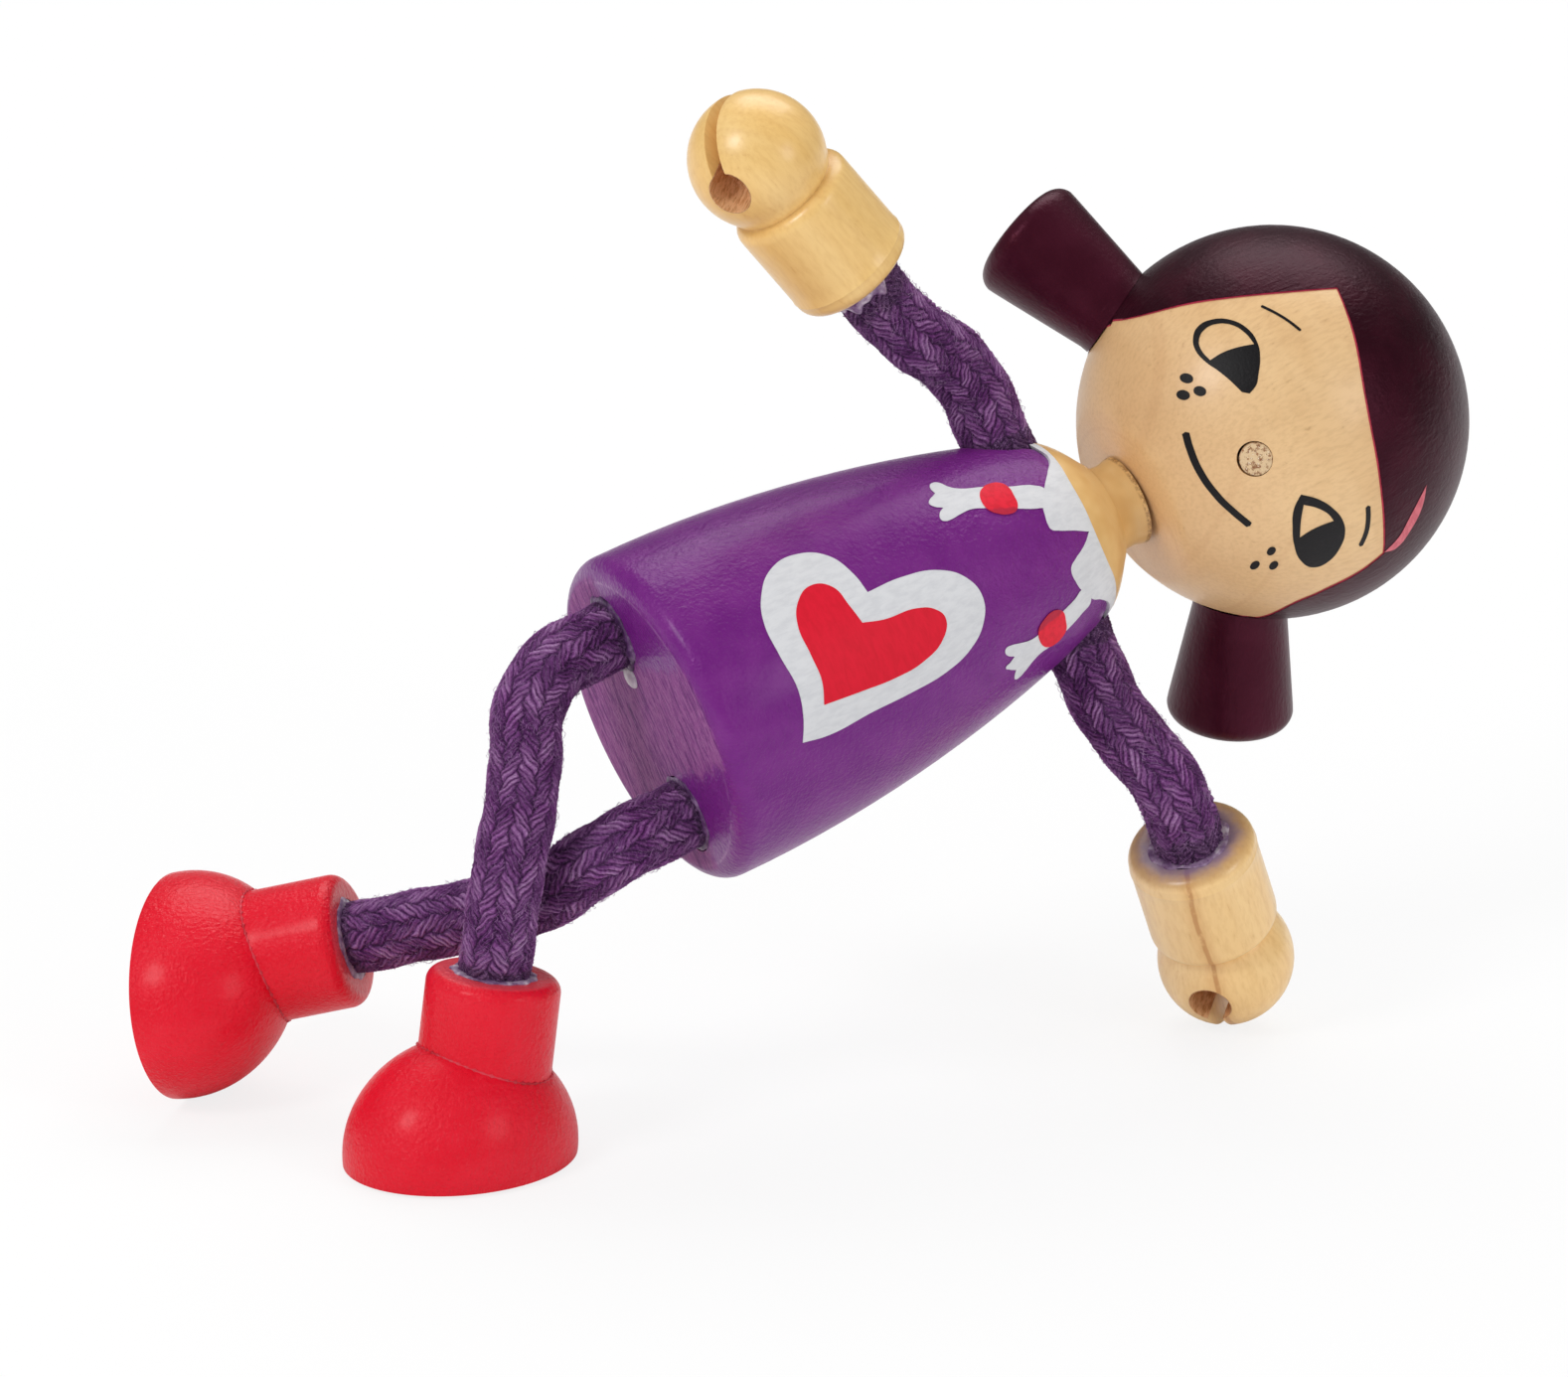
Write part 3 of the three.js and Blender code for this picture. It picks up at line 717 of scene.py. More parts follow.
# Bare end grain: matt and cream, speckled with brown pores and pale pits.
end_grain, shader, own = new_material("end_grain", nose_frame, Roughness=0.75)
pits = add_node(own, "ShaderNodeTexVoronoi", {"Vector": own, "Scale": 2.3, "feature": "F1"})
specks = noise(own, 3.0, 4, 0.7)
shade = mix(mask(specks, 0.5, 0.62), "#E3C59B", "#94633F")
shade = tint(shade, "#A87750", mask(pits.outputs["Distance"], 0.26, 0.12))
shade = tint(shade, "#F0DCC0", mask(noise(own, 6.5, 3), 0.6, 0.68))
set_input(shader, "Base Color", shade)
emboss(shader, specks, 0.12)
finish_piece(nose, end_grain, nose_frame, 50)
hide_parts("nose_plug")
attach(nose, "head_body")


# Hair
# Thick glossy plum lacquer over the crown, sides and back, masked off along the fringe and cheeks.
# A thin line of the pink undercoat shows all along its edge.

HAIR_PAINT = 0.09
UNDERCOAT = 0.04
UNDERCOAT_SHOWS = 0.06
HAIR_SHELL = 0.6
BELOW_NAPE = 30
FACE_OPENING = [
    (-7.55, 4.3, "corner"), (-4.74, 3.25), (-0.12, 1.42), (4.45, 0.42), (8.0, -0.05),
    (10.35, -0.2, "corner"), (10.8, -1.9), (11.0, -4.8), (11.2, -6.6), (11.9, -7.4),
    (14.5, -7.4, "corner"), (14.5, -16, "corner"), (-14.5, -16, "corner"), (-14.5, -7.6, "corner"),
    (-11.35, -7.3, "corner"), (-10.94, -4.68), (-10.21, -2.42), (-9.03, 0.63)]
NAPE_HEIGHT = -7.55
NAPE_DROP = 3


def widened(points, extra):
    """An outline moved outwards by the extra width."""
    corners = [Vector(p[:2]) for p in points]
    moved = []
    for i, point in enumerate(points):
        run = (corners[(i + 1) % len(corners)] - corners[i - 1]).normalized()
        moved.append((point[0] - run.y * extra, point[1] + run.x * extra, *point[2:]))
    return moved


def hair_layer(name, thickness, opening, nape_height, material):
    """A shell of paint about the head, without the face's opening and what is below the nape."""
    layer = head_ball(name, thickness)
    combine(layer, head_ball("inside", -HAIR_SHELL), "DIFFERENCE")
    combine(layer, flat_outline("face_opening", [opening], -16, 0.4), "DIFFERENCE")
    bpy.ops.mesh.primitive_cube_add(size=mm(2 * BELOW_NAPE))
    nape = Matrix.Translation((0, 0, mm(nape_height))) @ Matrix.Rotation(radians(-NAPE_DROP), 4, "X")
    below = put(latest("below"), nape @ Matrix.Translation((0, 0, -mm(BELOW_NAPE))))
    combine(layer, below, "DIFFERENCE")
    finish_piece(layer, material, head_frame)
    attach(layer, "head_body")


# Thick brushed lacquer: deep plum, glossy, with faint long ridges that the brush left.
def lacquer(name, place, hex_colour, thin_hex, roughness, brush_scale, relief):
    material, shader, own = new_material(
        name, place, Roughness=roughness, Specular_IOR_Level=0.32, Specular_Tint="#FF93B6")
    set_input(shader, "Base Color", mix(mask(noise(own, 0.3, 3), 0.35, 0.7), hex_colour, thin_hex))
    emboss(shader, noise(stretch(own, brush_scale), 1.0, 3, 0.6, 0.6), relief)
    emboss(shader, noise(own, 3.0, 3), 0.035)
    return material


plum_hair = lacquer("plum_lacquer", head_frame, "#270511", "#330A18", 0.4, (2.0, 2.0, 0.5), 0.05)
pink_undercoat = brushed_paint("pink_undercoat", "#C23A52", "#9E2C42", head_frame, (1.5, 1.5, 1.5))
hair_layer(
    "hair_undercoat", UNDERCOAT, widened(FACE_OPENING, -UNDERCOAT_SHOWS), NAPE_HEIGHT - UNDERCOAT_SHOWS,
    pink_undercoat)
hair_layer("hair", HAIR_PAINT, widened(FACE_OPENING, UNDERCOAT_SHOWS), NAPE_HEIGHT, plum_hair)


# Face
# Drawn in black ink under the lacquer: teardrop eyes that look aside, thin brows, a long smile and
# three freckles on each cheek. One salmon lock is brushed on the hair.

INK = 0.03
RIGHT_EYE = [
    (-4.2, -5.35, "corner"), (-4.54, -4.69), (-5.05, -4.25), (-5.93, -3.56), (-6.88, -3.07), (-8.05, -2.98),
    (-9.01, -3.48), (-9.47, -4.32), (-9.43, -5.22), (-8.82, -6.03), (-8.12, -6.38), (-7.27, -6.39),
    (-6.4, -6.13), (-5.62, -5.92), (-4.5, -5.7, "corner")]
RIGHT_EYE_BARE = [
    (-6.96, -3.27, "corner"), (-7.8, -3.27), (-8.65, -3.6), (-9.1, -4.27), (-9.1, -5.1), (-8.55, -5.89),
    (-7.91, -6.14), (-7.2, -6.12, "corner"), (-7.32, -5.22), (-7.22, -4.24)]
LEFT_EYE = [
    (3.55, -5.2, "corner"), (4.4, -4.23), (5.51, -3.44), (6.64, -3.0), (7.54, -3.02), (8.33, -3.45),
    (8.94, -4.25), (8.94, -5.24), (8.02, -6.08), (6.67, -6.37), (5.51, -6.26), (4.28, -5.88)]
LEFT_EYE_BARE = [
    (4.3, -5.24, "corner"), (4.85, -4.55), (5.7, -3.85), (6.32, -3.6, "corner"), (6.22, -4.58),
    (6.25, -5.33), (6.39, -5.97, "corner"), (5.21, -5.65)]
BROWS = {
    "right": [(-8.86, -1.18), (-8.1, -0.75), (-7.2, -0.35), (-6.42, -0.1)],
    "left": [(6.55, -1.05), (7.4, -1.22), (8.2, -1.5), (8.9, -1.98)],
}
BROW_WIDTH = {"right": 0.2, "left": 0.36}
SMILE = [(-3.44, -9.67), (-2.5, -9.88), (-0.73, -10.02), (1.33, -9.72), (2.81, -9.2), (4.05, -8.63)]
SMILE_WIDTH = 0.36
FRECKLES = {
    "right": [(-6.74, -7.85), (-5.65, -7.71), (-5.83, -8.58)],
    "left": [(6.47, -7.74), (7.01, -8.71), (7.55, -7.69)],
}
FRECKLE_RADIUS = {"right": 0.31, "left": 0.25}
SALMON_LOCK = [
    (10.3, -0.2, "corner"), (10.48, 0.85), (9.65, 2.25), (8.6, 3.3), (7.3, 3.95, "corner"), (8.05, 2.98),
    (8.9, 1.98), (9.75, 1.06)]

def stroke(points, width):
    """The outline of a stroke through points, with blunt ends."""
    left, right = [], []
    for i, (x, y) in enumerate(points):
        at_end = ("corner",) if i in (0, len(points) - 1) else ()
        before, after = points[max(i - 1, 0)], points[min(i + 1, len(points) - 1)]
        run = Vector((after[0] - before[0], after[1] - before[1])).normalized() * width / 2
        left.append((x - run.y, y + run.x, *at_end))
        right.append((x + run.y, y - run.x, *at_end))
        if i == 0:
            left.insert(0, (x - 0.6 * run.x, y - 0.6 * run.y, "corner"))
        elif at_end:
            left.append((x + 0.6 * run.x, y + 0.6 * run.y, "corner"))
    return left + right[::-1]


# Black ink, with a few places where it lies thinner and shines.
ink, shader, own = new_material("black_ink", head_frame, Roughness=0.5, Specular_IOR_Level=0.3)
set_input(shader, "Base Color", mix(mask(noise(own, 2.0, 4, 0.7), 0.55, 0.75), "#0F0C10", "#1E191D"))
emboss(shader, noise(own, 5.0, 3), 0.02)
salmon_paint = brushed_paint("salmon_acrylic", "#D9707C", "#C45A68", head_frame, (1.2, 1.2, 3.0))


def paint_on_head(name, splines, thickness=INK, material=ink):
    skin = head_ball(name + "_skin", thickness, 160)
    film = combine(skin, flat_outline(name, splines, -16, -5), "INTERSECT")
    film.name = name
    finish_piece(film, material, head_frame)
    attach(film, "head_body")


paint_on_head("right_eye", [RIGHT_EYE, RIGHT_EYE_BARE])
paint_on_head("left_eye", [LEFT_EYE, LEFT_EYE_BARE])
paint_on_head("smile", [stroke(SMILE, SMILE_WIDTH)])
for side in ("left", "right"):
    paint_on_head(side + "_brow", [stroke(BROWS[side], BROW_WIDTH[side])])
    size = FRECKLE_RADIUS[side]
    angles = np.linspace(0, 2 * pi, 7)[:-1]
    dots = [[(x + 1.15 * size * cos(a), y + size * sin(a)) for a in angles] for x, y in FRECKLES[side]]
    paint_on_head(side + "_freckles", dots)
paint_on_head("salmon_lock", [SALMON_LOCK], HAIR_PAINT + INK, salmon_paint)


# Pigtails
# Two tapered plugs, narrow end to the head, each on a hidden dowel. They are dipped in the same
# plum lacquer as the hair, which has pulled back from the rounded rim.

PIGTAIL_LENGTH = 8.6
PIGTAIL_ROOT_RADIUS = 3.3
PIGTAIL_END_RADIUS = 4.4
PIGTAIL_ROUNDING = 1.2
PIGTAIL_IN_HEAD = 2.6
PIGTAIL_HOLE_RADIUS = 1.5
PIGTAIL_HOLE_DEPTH = 5.3
PIGTAILS = {
    "left": {"seat": (22.3, 27.5), "out": (29.1, 18.4)},
    "right": {"seat": (17.9, 25.1), "out": (26.4, 15.7)},
}


def head_direction(sign, back, drop):
    back, drop = radians(back), radians(drop)
    return Vector((sign * cos(back) * cos(drop), sin(back) * cos(drop), -sin(drop)))


straight = PIGTAIL_LENGTH - PIGTAIL_ROUNDING
rounded = PIGTAIL_END_RADIUS - PIGTAIL_ROUNDING
growth = PIGTAIL_END_RADIUS - PIGTAIL_ROOT_RADIUS
outline = [(ON_AXIS, -PIGTAIL_IN_HEAD), (PIGTAIL_ROOT_RADIUS, -PIGTAIL_IN_HEAD), (PIGTAIL_ROOT_RADIUS, 0.0)]
outline += [(PIGTAIL_ROOT_RADIUS + growth * part, straight * part) for part in (0.2, 0.4, 0.6, 0.8, 0.95)]
outline += arc(rounded, straight, PIGTAIL_ROUNDING, 4, 84, 9)
outline += [(0.5 * rounded, PIGTAIL_LENGTH + 0.06), (ON_AXIS, PIGTAIL_LENGTH + 0.1)]
for side, angles in PIGTAILS.items():
    seat = head_direction(SIDES[side], *angles["seat"]) * mm(HEAD_RADIUS)
    out = head_direction(SIDES[side], *angles["out"])
    across = out.orthogonal().normalized()
    pigtail_frame = head_frame @ frame_of(seat, across, out.cross(across), out)
    pigtail = turn_on_lathe(side + "_lacquered_pigtail", outline, 96)
    put(pigtail, pigtail_frame)
    ball = put(head_ball("ball", HAIR_PAINT + 0.02), head_frame)
    combine(pigtail, ball, "DIFFERENCE")
    hole = put(rod(PIGTAIL_HOLE_RADIUS, (0, 0, -6), (0, 0, PIGTAIL_HOLE_DEPTH)), pigtail_frame)
    combine(pigtail, hole, "DIFFERENCE")
    give(pigtail, lacquer(
        side + "_pigtail_lacquer", pigtail_frame, "#3A0E1D", "#431424", 0.37, (2.6, 2.6, 0.4), 0.03))
    smooth(pigtail)
    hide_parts(side + "_pigtail")
    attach(pigtail, "head_body")


# Dowels
# Birch rod, cut to length and left bare, for the neck and the two pigtails. The dowels are glued
# into blind holes, so only a hair of them shows.

birch, shader, own = new_material("birch_dowel", torso_frame, Roughness=0.7)
fibres = noise(stretch(own, (6, 6, 0.5)), 1.0, 4, 0.6)
set_input(shader, "Base Color", mix(mask(fibres, 0.4, 0.65), "#D2AC78", "#B98C58"))
emboss(shader, fibres, 0.05)
for name in ("neck_dowel", "left_pigtail_dowel", "right_pigtail_dowel"):
    give(frame["nodes"][name], birch)


# Limb cords
# Cotton braid on a soft iron wire. Bundles of three dyed yarns lean left and right in turn round
# the cord, so the surface is a herringbone. Each cord is glued into blind holes at both ends.

CORD_RADIUS = 2.5
STRAIGHT_END = 3.0
BRAID_COLUMNS = 12
YARN_SPACING = 0.48
YARNS_IN_BUNDLE = 3
BRAID_RELIEF = 0.36
YARN_BULGE = 0.06
BRAID_RISE = 2.6
INTERLOCK = 0.12
UNEVEN_PACE = 0.25
BUNDLE_ROUNDING = 0.22
DIP_WIDTH = 0.15
DIP_FLOOR = 0.5
YARN_SLACK = 0.2
YARN_LENGTH = 1.6
GROOVE_FLOOR = 0.15
PLY_RELIEF = 0.07
PLIES_ALONG_YARN = 7
GLUE_REACH = {"arm": 5.0, "leg": 1.6}
TORSO_GLUE_REACH = 1.2
FIBRES_PER_MM = 46
FIBRE_RADIUS = 0.02
FIBRE_POINTS = 6
FIBRE_RUN = 0.8
FIBRE_TURN = 0.45
FIBRE_LIFT = (0.08, 0.32)
LOOSE_SHARE = 0.4
FIBRE_MARGIN = 0.9
FIBRE_ROOT = 0.12
FIBRES_OFF_TORSO = 1.4
FIBRES_OFF_END = 1.2
CORD_IN_TORSO = 2.0
CORD_IN_END = 2.0
STEP_ALONG = 0.075
STRAIGHT_BELOW = 0.001
POINTS_AROUND = 160

LIMBS = {
    "arm": {
        "joints": ("shoulder", "elbow", "wrist"),
        "bodies": ("upper_arm_body", "forearm_body", "hand_body"),
        "sleeves": (("shoulder_cord", "upper_arm_cord"), ("forearm_cord",), ("wrist_cord",)),
    },
    "leg": {
        "joints": ("hip", "thigh", "knee", "ankle"),
        "bodies": ("thigh_body", "knee_body", "shin_body", "foot_body"),
        "sleeves": (("hip_cord", "thigh_cord"), ("knee_cord",), ("shin_cord",), ("ankle_cord",)),
    },
}
ROOT_DIRECTION = {
    ("left", "arm"): torso_left, ("right", "arm"): -torso_left,
    ("left", "leg"): -torso_up, ("right", "leg"): -torso_up,
}


def limb_route(places, direction):
    """Centre line through the bending points, in mm: straight ends, and an arc for each link.

    Returns the points, the directions there, how far along they lie, and each joint's distance."""
    points = [places[0] * 1000 - direction * (STRAIGHT_END + CORD_IN_TORSO)]
    directions = [direction.copy()]
    distances = [0.0]
    marks = []

    def advance(length, radius=None, sideways=None):
        start, heading, begun = points[-1].copy(), directions[-1].copy(), distances[-1]
        count = max(2, round(length / STEP_ALONG))
        for i in range(1, count + 1):
            run = length * i / count
            if radius:
                angle = run / radius
                points.append(start + heading * radius * sin(angle) + sideways * radius * (1 - cos(angle)))
                directions.append(heading * cos(angle) + sideways * sin(angle))
            else:
                points.append(start + heading * run)
                directions.append(heading.copy())
            distances.append(begun + run)

    advance(STRAIGHT_END + CORD_IN_TORSO)
    marks.append(distances[-1])
    for place, next_place in zip(places, places[1:]):
        heading = directions[-1]
        chord = (next_place - place) * 1000
        half_turn = heading.angle(chord)
        if half_turn < STRAIGHT_BELOW:
            advance(chord.length)
        else:
            radius = chord.length / (2 * sin(half_turn))
            sideways = (chord - heading * chord.dot(heading)).normalized()
            advance(2 * half_turn * radius, radius, sideways)
        marks.append(distances[-1])
    advance(STRAIGHT_END + CORD_IN_END)
    return points, directions, distances, marks


def sides_along(directions, first_side):
    """A side direction at each point, carried along the route without twist."""
    side = (first_side - directions[0] * first_side.dot(directions[0])).normalized()
    sides = []
    for direction in directions:
        side = (side - direction * side.dot(direction)).normalized()
        sides.append(side.copy())
    return sides


def slow_wave(values, periods, generator):
    """A smooth uneven wave of about -1 to 1 along an array."""
    total = sum(np.sin(values / period * 2 * pi + generator.uniform(0, 2 * pi)) for period in periods)
    return total / len(periods)


def braid_height(around, along, generator):
    """Height of the braid, 0 in the grooves and 1 on the yarns' backs, on a grid of places.

    The second result is each place across and along its own yarn, in mm, for the material."""
    uneven = UNEVEN_PACE * slow_wave(along + 3 * np.sin(2 * pi * around), (2.3, 4.1, 7.7), generator)
    yarns_along = along / YARN_SPACING + uneven
    column = around * BRAID_COLUMNS
    border = np.round(column)
    before_lean = np.where(border % 2 == 1, 1.0, -1.0)
    before_stagger = 0.5 * YARNS_IN_BUNDLE * ((border + 1) % 2)
    bundle_before = (yarns_along + 0.5 * before_lean * BRAID_RISE + before_stagger) / YARNS_IN_BUNDLE
    push = -INTERLOCK * np.cos(2 * pi * bundle_before)
    column = column - push * np.cos(pi * (column - border))
    cell = np.floor(column)
    across = column - cell
    lean = np.where(cell % 2 == 0, 1.0, -1.0)
    phase = yarns_along + lean * (across - 0.5) * BRAID_RISE + 0.5 * YARNS_IN_BUNDLE * (cell % 2)
    place = 2 * (phase - np.floor(phase)) - 1
    yarn = np.sqrt(np.clip(1 - place ** 2, 0, 1))
    bundle = phase / YARNS_IN_BUNDLE
    in_bundle = 2 * (bundle - np.floor(bundle)) - 1
    crown = 1 - BUNDLE_ROUNDING * np.abs(in_bundle) ** 4
    edge = np.clip(np.minimum(across, 1 - across) / DIP_WIDTH, 0, 1)
    dip = DIP_FLOOR + (1 - DIP_FLOOR) * edge * edge * (3 - 2 * edge)
    number = np.floor(phase) * 7.31 + (cell % BRAID_COLUMNS) * 3.17
    slack = 1 - YARN_SLACK + YARN_SLACK * np.sin(12.9898 * number)
    ply = PLY_RELIEF * np.sin(2 * pi * (2.3 * phase + PLIES_ALONG_YARN * across))
    back = GROOVE_FLOOR + (1 - GROOVE_FLOOR) * yarn
    height = np.clip((back * crown * slack + ply * yarn) * dip, 0, 1)
    along_yarn = np.stack([phase * YARN_SPACING, YARN_LENGTH * across, cell], axis=-1)
    return height, along_yarn


def painted_on(shader, name, output):
    """A value that the mesh carries at each of its points."""
    return add_node(shader, "ShaderNodeAttribute", {"attribute_name": name}).outputs[output]


# Dyed cotton, matt and a little furry, with painted shade dark in the grooves and a painted highlight pale on
# the yarns' backs, fine fibres along each yarn, and darker and smoother where glue has soaked in.
braid, shader, cotton = new_material(
    "braided_cotton", Roughness=0.92, Specular_IOR_Level=0.2,
    Sheen_Weight=0.25, Sheen_Roughness=0.5, Sheen_Tint="#B98ABF")
# The ramp over the braid's height paints shade into the grooves and a highlight onto the yarns' backs.
shade = ramp(painted_on(shader, "braid_height", "Fac"), [
    (0.08, "#2A0E34"), (0.34, "#552560"), (0.6, "#7C4484"), (0.84, "#A06AA5"), (1.0, "#C49CCA")])
fibre = noise(stretch(painted_on(shader, "yarn_place", "Vector"), (10.0, 1.6, 7.0)), 1.0, 3, 0.7, 0.6)
shade = tint(shade, "#B689BD", mask(fibre, 0.52, 0.62), 0.55)
shade = tint(shade, "#3A1746", mask(fibre, 0.46, 0.36), 0.55)
dye = noise(cotton, 0.45, 3, 0.6)
shade = mix(mask(dye, 0.35, 0.7), shade, "#7A5A7C", "SOFT_LIGHT")
fluff = noise(cotton, 5.5, 5, 0.8)
shade = tint(shade, "#BE93C4", mask(fluff, 0.54, 0.66), 0.5)
shade = tint(shade, "#3C1A48", mask(fluff, 0.46, 0.34), 0.5)
glued = plus(painted_on(shader, "near_glue", "Fac"), -0.45)
soaked = mask(plus(glued, noise(cotton, 0.7, 4, 0.65)), 0.5, 0.72)
shade = tint(shade, "#2F1738", soaked, 0.72)
hairs = calculate("ABSOLUTE", plus(noise(cotton, 2.0, 3, 0.6, 1.4), -0.5))
shade = tint(shade, "#AC82B4", times(soaked, mask(hairs, 0.022, 0.006)), 0.75)
set_input(shader, "Base Color", shade)
emboss(shader, fibre, 0.09)
emboss(shader, fluff, 0.12)


def stray_fibres(centre, side, other, heading, along, limits, generator):
    """Thin loops and loose ends of cotton that stand off the braid, as points and triangles.

    Each starts and ends just inside the surface, or ends in the air."""
    points, faces, rows = [], [], []
    low = max(along[0] + FIBRE_MARGIN, limits[0])
    high = min(along[-1] - FIBRE_MARGIN, limits[1])
    for _ in range(int(FIBRES_PER_MM * max(high - low, 0))):
        distance = generator.uniform(low, high)
        angle = generator.uniform(0, 2 * pi)
        run = generator.uniform(-FIBRE_RUN, FIBRE_RUN)
        turn = generator.uniform(-FIBRE_TURN, FIBRE_TURN)
        loose = generator.uniform() < LOOSE_SHARE
        lift = generator.uniform(*FIBRE_LIFT)
        first = len(points)
        for step in range(FIBRE_POINTS):
            part = step / (FIBRE_POINTS - 1)
            place = min(max(distance + run * part, low), high)
            row = int(np.searchsorted(along, place))
            bend = angle + turn * part + 0.05 * sin(9 * part + distance)
            out = side[row] * cos(bend) + other[row] * sin(bend)
            rise = part ** 1.5 if loose else sin(pi * part)
            middle = centre[row] + heading[row] * (place - along[row])
            middle = middle + out * (CORD_RADIUS - FIBRE_ROOT + rise * lift)
            across = np.cross(out, heading[row])
            for corner in range(3):
                spoke = out * cos(2 * pi * corner / 3) + across * sin(2 * pi * corner / 3)
                points.append(middle + spoke * FIBRE_RADIUS)
            rows.append(row)
        for step in range(FIBRE_POINTS - 1):
            for corner in range(3):
                a, b = first + 3 * step + corner, first + 3 * step + (corner + 1) % 3
                faces.append([a, b, b + 3, a + 3])
        last = first + 3 * (FIBRE_POINTS - 1)
        faces += [[first + 2, first + 1, first], [last, last + 1, last + 2]]
    return points, faces, rows


def carry(mesh, name, kind, field, values):
    """Stores values on the mesh's points, under a name that the material reads."""
    layer = mesh.attributes.new(name, kind, "POINT")
    layer.data.foreach_set(field, values.astype(np.float32))


def braided_piece(name, route, start, end, generator_seed, glue_reach):
    """One stretch of cord between two distances along its limb, as a mesh."""
    distances = route[-1]
    length = distances[-1]
    chosen = [i for i, d in enumerate(distances) if start - 1e-6 <= d <= end + 1e-6]
    centre, heading, side = (np.array([column[i][:] for i in chosen]) for column in route[:-1])
    along = np.array([distances[i] for i in chosen])
    other = np.cross(heading, side)
    grid_around, grid_along = np.meshgrid(np.arange(POINTS_AROUND) / POINTS_AROUND, along)
    height, along_yarn = braid_height(grid_around, grid_along, np.random.default_rng(generator_seed))
    radius = CORD_RADIUS + YARN_BULGE - BRAID_RELIEF * (1 - height)
    angle = 2 * pi * grid_around
    ring = side[:, None] * np.cos(angle)[..., None] + other[:, None] * np.sin(angle)[..., None]
    skin = (centre[:, None] + ring * radius[..., None]).reshape(-1, 3)
    rows = len(chosen)
    row, spot = np.meshgrid(np.arange(rows - 1), np.arange(POINTS_AROUND), indexing="ij")
    row, after = row * POINTS_AROUND, (spot + 1) % POINTS_AROUND
    next_row = row + POINTS_AROUND
    faces = np.stack([row + spot, row + after, next_row + after, next_row + spot], axis=-1)
    first_cap = list(range(POINTS_AROUND))[::-1]
    last_cap = [(rows - 1) * POINTS_AROUND + i for i in range(POINTS_AROUND)]
    limits = (CORD_IN_TORSO + FIBRES_OFF_TORSO, length - CORD_IN_END - FIBRES_OFF_END)
    fibre_points, fibre_faces, fibre_rows = stray_fibres(
        centre, side, other, heading, along, limits, np.random.default_rng(generator_seed + rows))
    fibre_faces = [[len(skin) + corner for corner in face] for face in fibre_faces]
    mesh = bpy.data.meshes.new(name)
    mesh.from_pydata(
        (skin / 1000).tolist() + (np.array(fibre_points) / 1000).tolist(), [],
        faces.reshape(-1, 4).tolist() + [first_cap, last_cap] + fibre_faces)
    to_torso = (grid_along - CORD_IN_TORSO) / TORSO_GLUE_REACH
    to_end = (length - CORD_IN_END - grid_along) / glue_reach
    near = np.clip(1 - np.minimum(to_torso, to_end), 0, 1)
    fibre_near = 0.5 * np.repeat(near[fibre_rows, 0], 3)
    carry(mesh, "braid_height", "FLOAT", "value", np.append(height, np.ones(len(fibre_points))))
    carry(
        mesh, "yarn_place", "FLOAT_VECTOR", "vector",
        np.append(along_yarn, np.zeros(3 * len(fibre_points))))
    carry(mesh, "near_glue", "FLOAT", "value", np.append(near, fibre_near))
    piece = bpy.data.objects.new(name, mesh)
    bpy.context.scene.collection.objects.link(piece)
    give(piece, braid)
    return smooth(piece, 180)


def closest(distances, wanted):
    """The number of the route's point that is nearest to a distance along it."""
    return min(range(len(distances)), key=lambda k: abs(distances[k] - wanted))


limb_ends = {}
for number, ((side, limb_name), direction) in enumerate(ROOT_DIRECTION.items()):
    limb = LIMBS[limb_name]
    names = [f"{side}_{joint}" for joint in limb["joints"]]
    places = [joint_place(name) for name in names]
    points, directions, distances, marks = limb_route(places, direction)
    route = (points, directions, sides_along(directions, torso_front), distances)
    middles = [(a + b) / 2 for a, b in zip(marks, marks[1:])]
    cuts = [closest(distances, cut) for cut in [0.0] + middles + [distances[-1]]]
    for i, middle in enumerate(places):
        piece = braided_piece(
            f"{side}_{limb_name}_braid_{i + 1}", route,
            distances[cuts[i]], distances[cuts[i + 1]], 10 + number, GLUE_REACH[limb_name])
        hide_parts(*[f"{side}_{sleeve}" for sleeve in limb["sleeves"][i]])
        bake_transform(piece)
    limb_ends[side, limb_name] = (points[-1] / 1000 - directions[-1] * mm(CORD_IN_END), directions[-1])


# Wires
# Soft annealed iron inside every cord, grey-brown, with the faint lines of the drawing die. It is
# what keeps a limb as it was bent.

iron, shader, own = new_material("annealed_iron", Metallic=1.0, Roughness=0.48)
scale_marks = noise(own, 1.26, 4, 0.7)
set_input(shader, "Base Color", mix(mask(scale_marks, 0.4, 0.65), "#8C8C90", "#6A625C"))
emboss(shader, scale_marks, 0.03)
for name, node in frame["nodes"].items():
    if name.endswith("_wire"):
        give(node, iron)


# Hands
# A cylinder and a ball turned in one, clear lacquered. Each is drilled across and sawn open from
# the end, so that it can grip a thin rod. The cord is glued into its cuff, and has stained it.

HAND_RADIUS = 4.5
HAND_CUFF = 8.2
HAND_ROUNDING = 0.95
HAND_BALL = 4.75
HAND_BALL_RISE = 3.1
GRIP_RADIUS = 1.5
GRIP_RISE = {"left": 0.25, "right": 0.85}
GRIP_SLOT = 1.1
GRIP_TURN = {"left": 147, "right": 33}
CUFF_EDGE = 0.9
STREAK_ANGLE = -12
TOOL_RIDGE = 0.045
TOOL_RIDGE_AT = HAND_ROUNDING + 0.35
HAND_HOLE_DEPTH = 6.3
STAIN = {"left": 0.45, "right": 0.2}
# The left hand's colours are painted lighter than its wood, as painted light against the shade where it lies.
HAND_COLOURS_LEFT_PAINTED_LIGHTER = {"left": ("#FFDFA6", "#F8CE8C"), "right": ("#F6CF89", "#EDBE6E")}


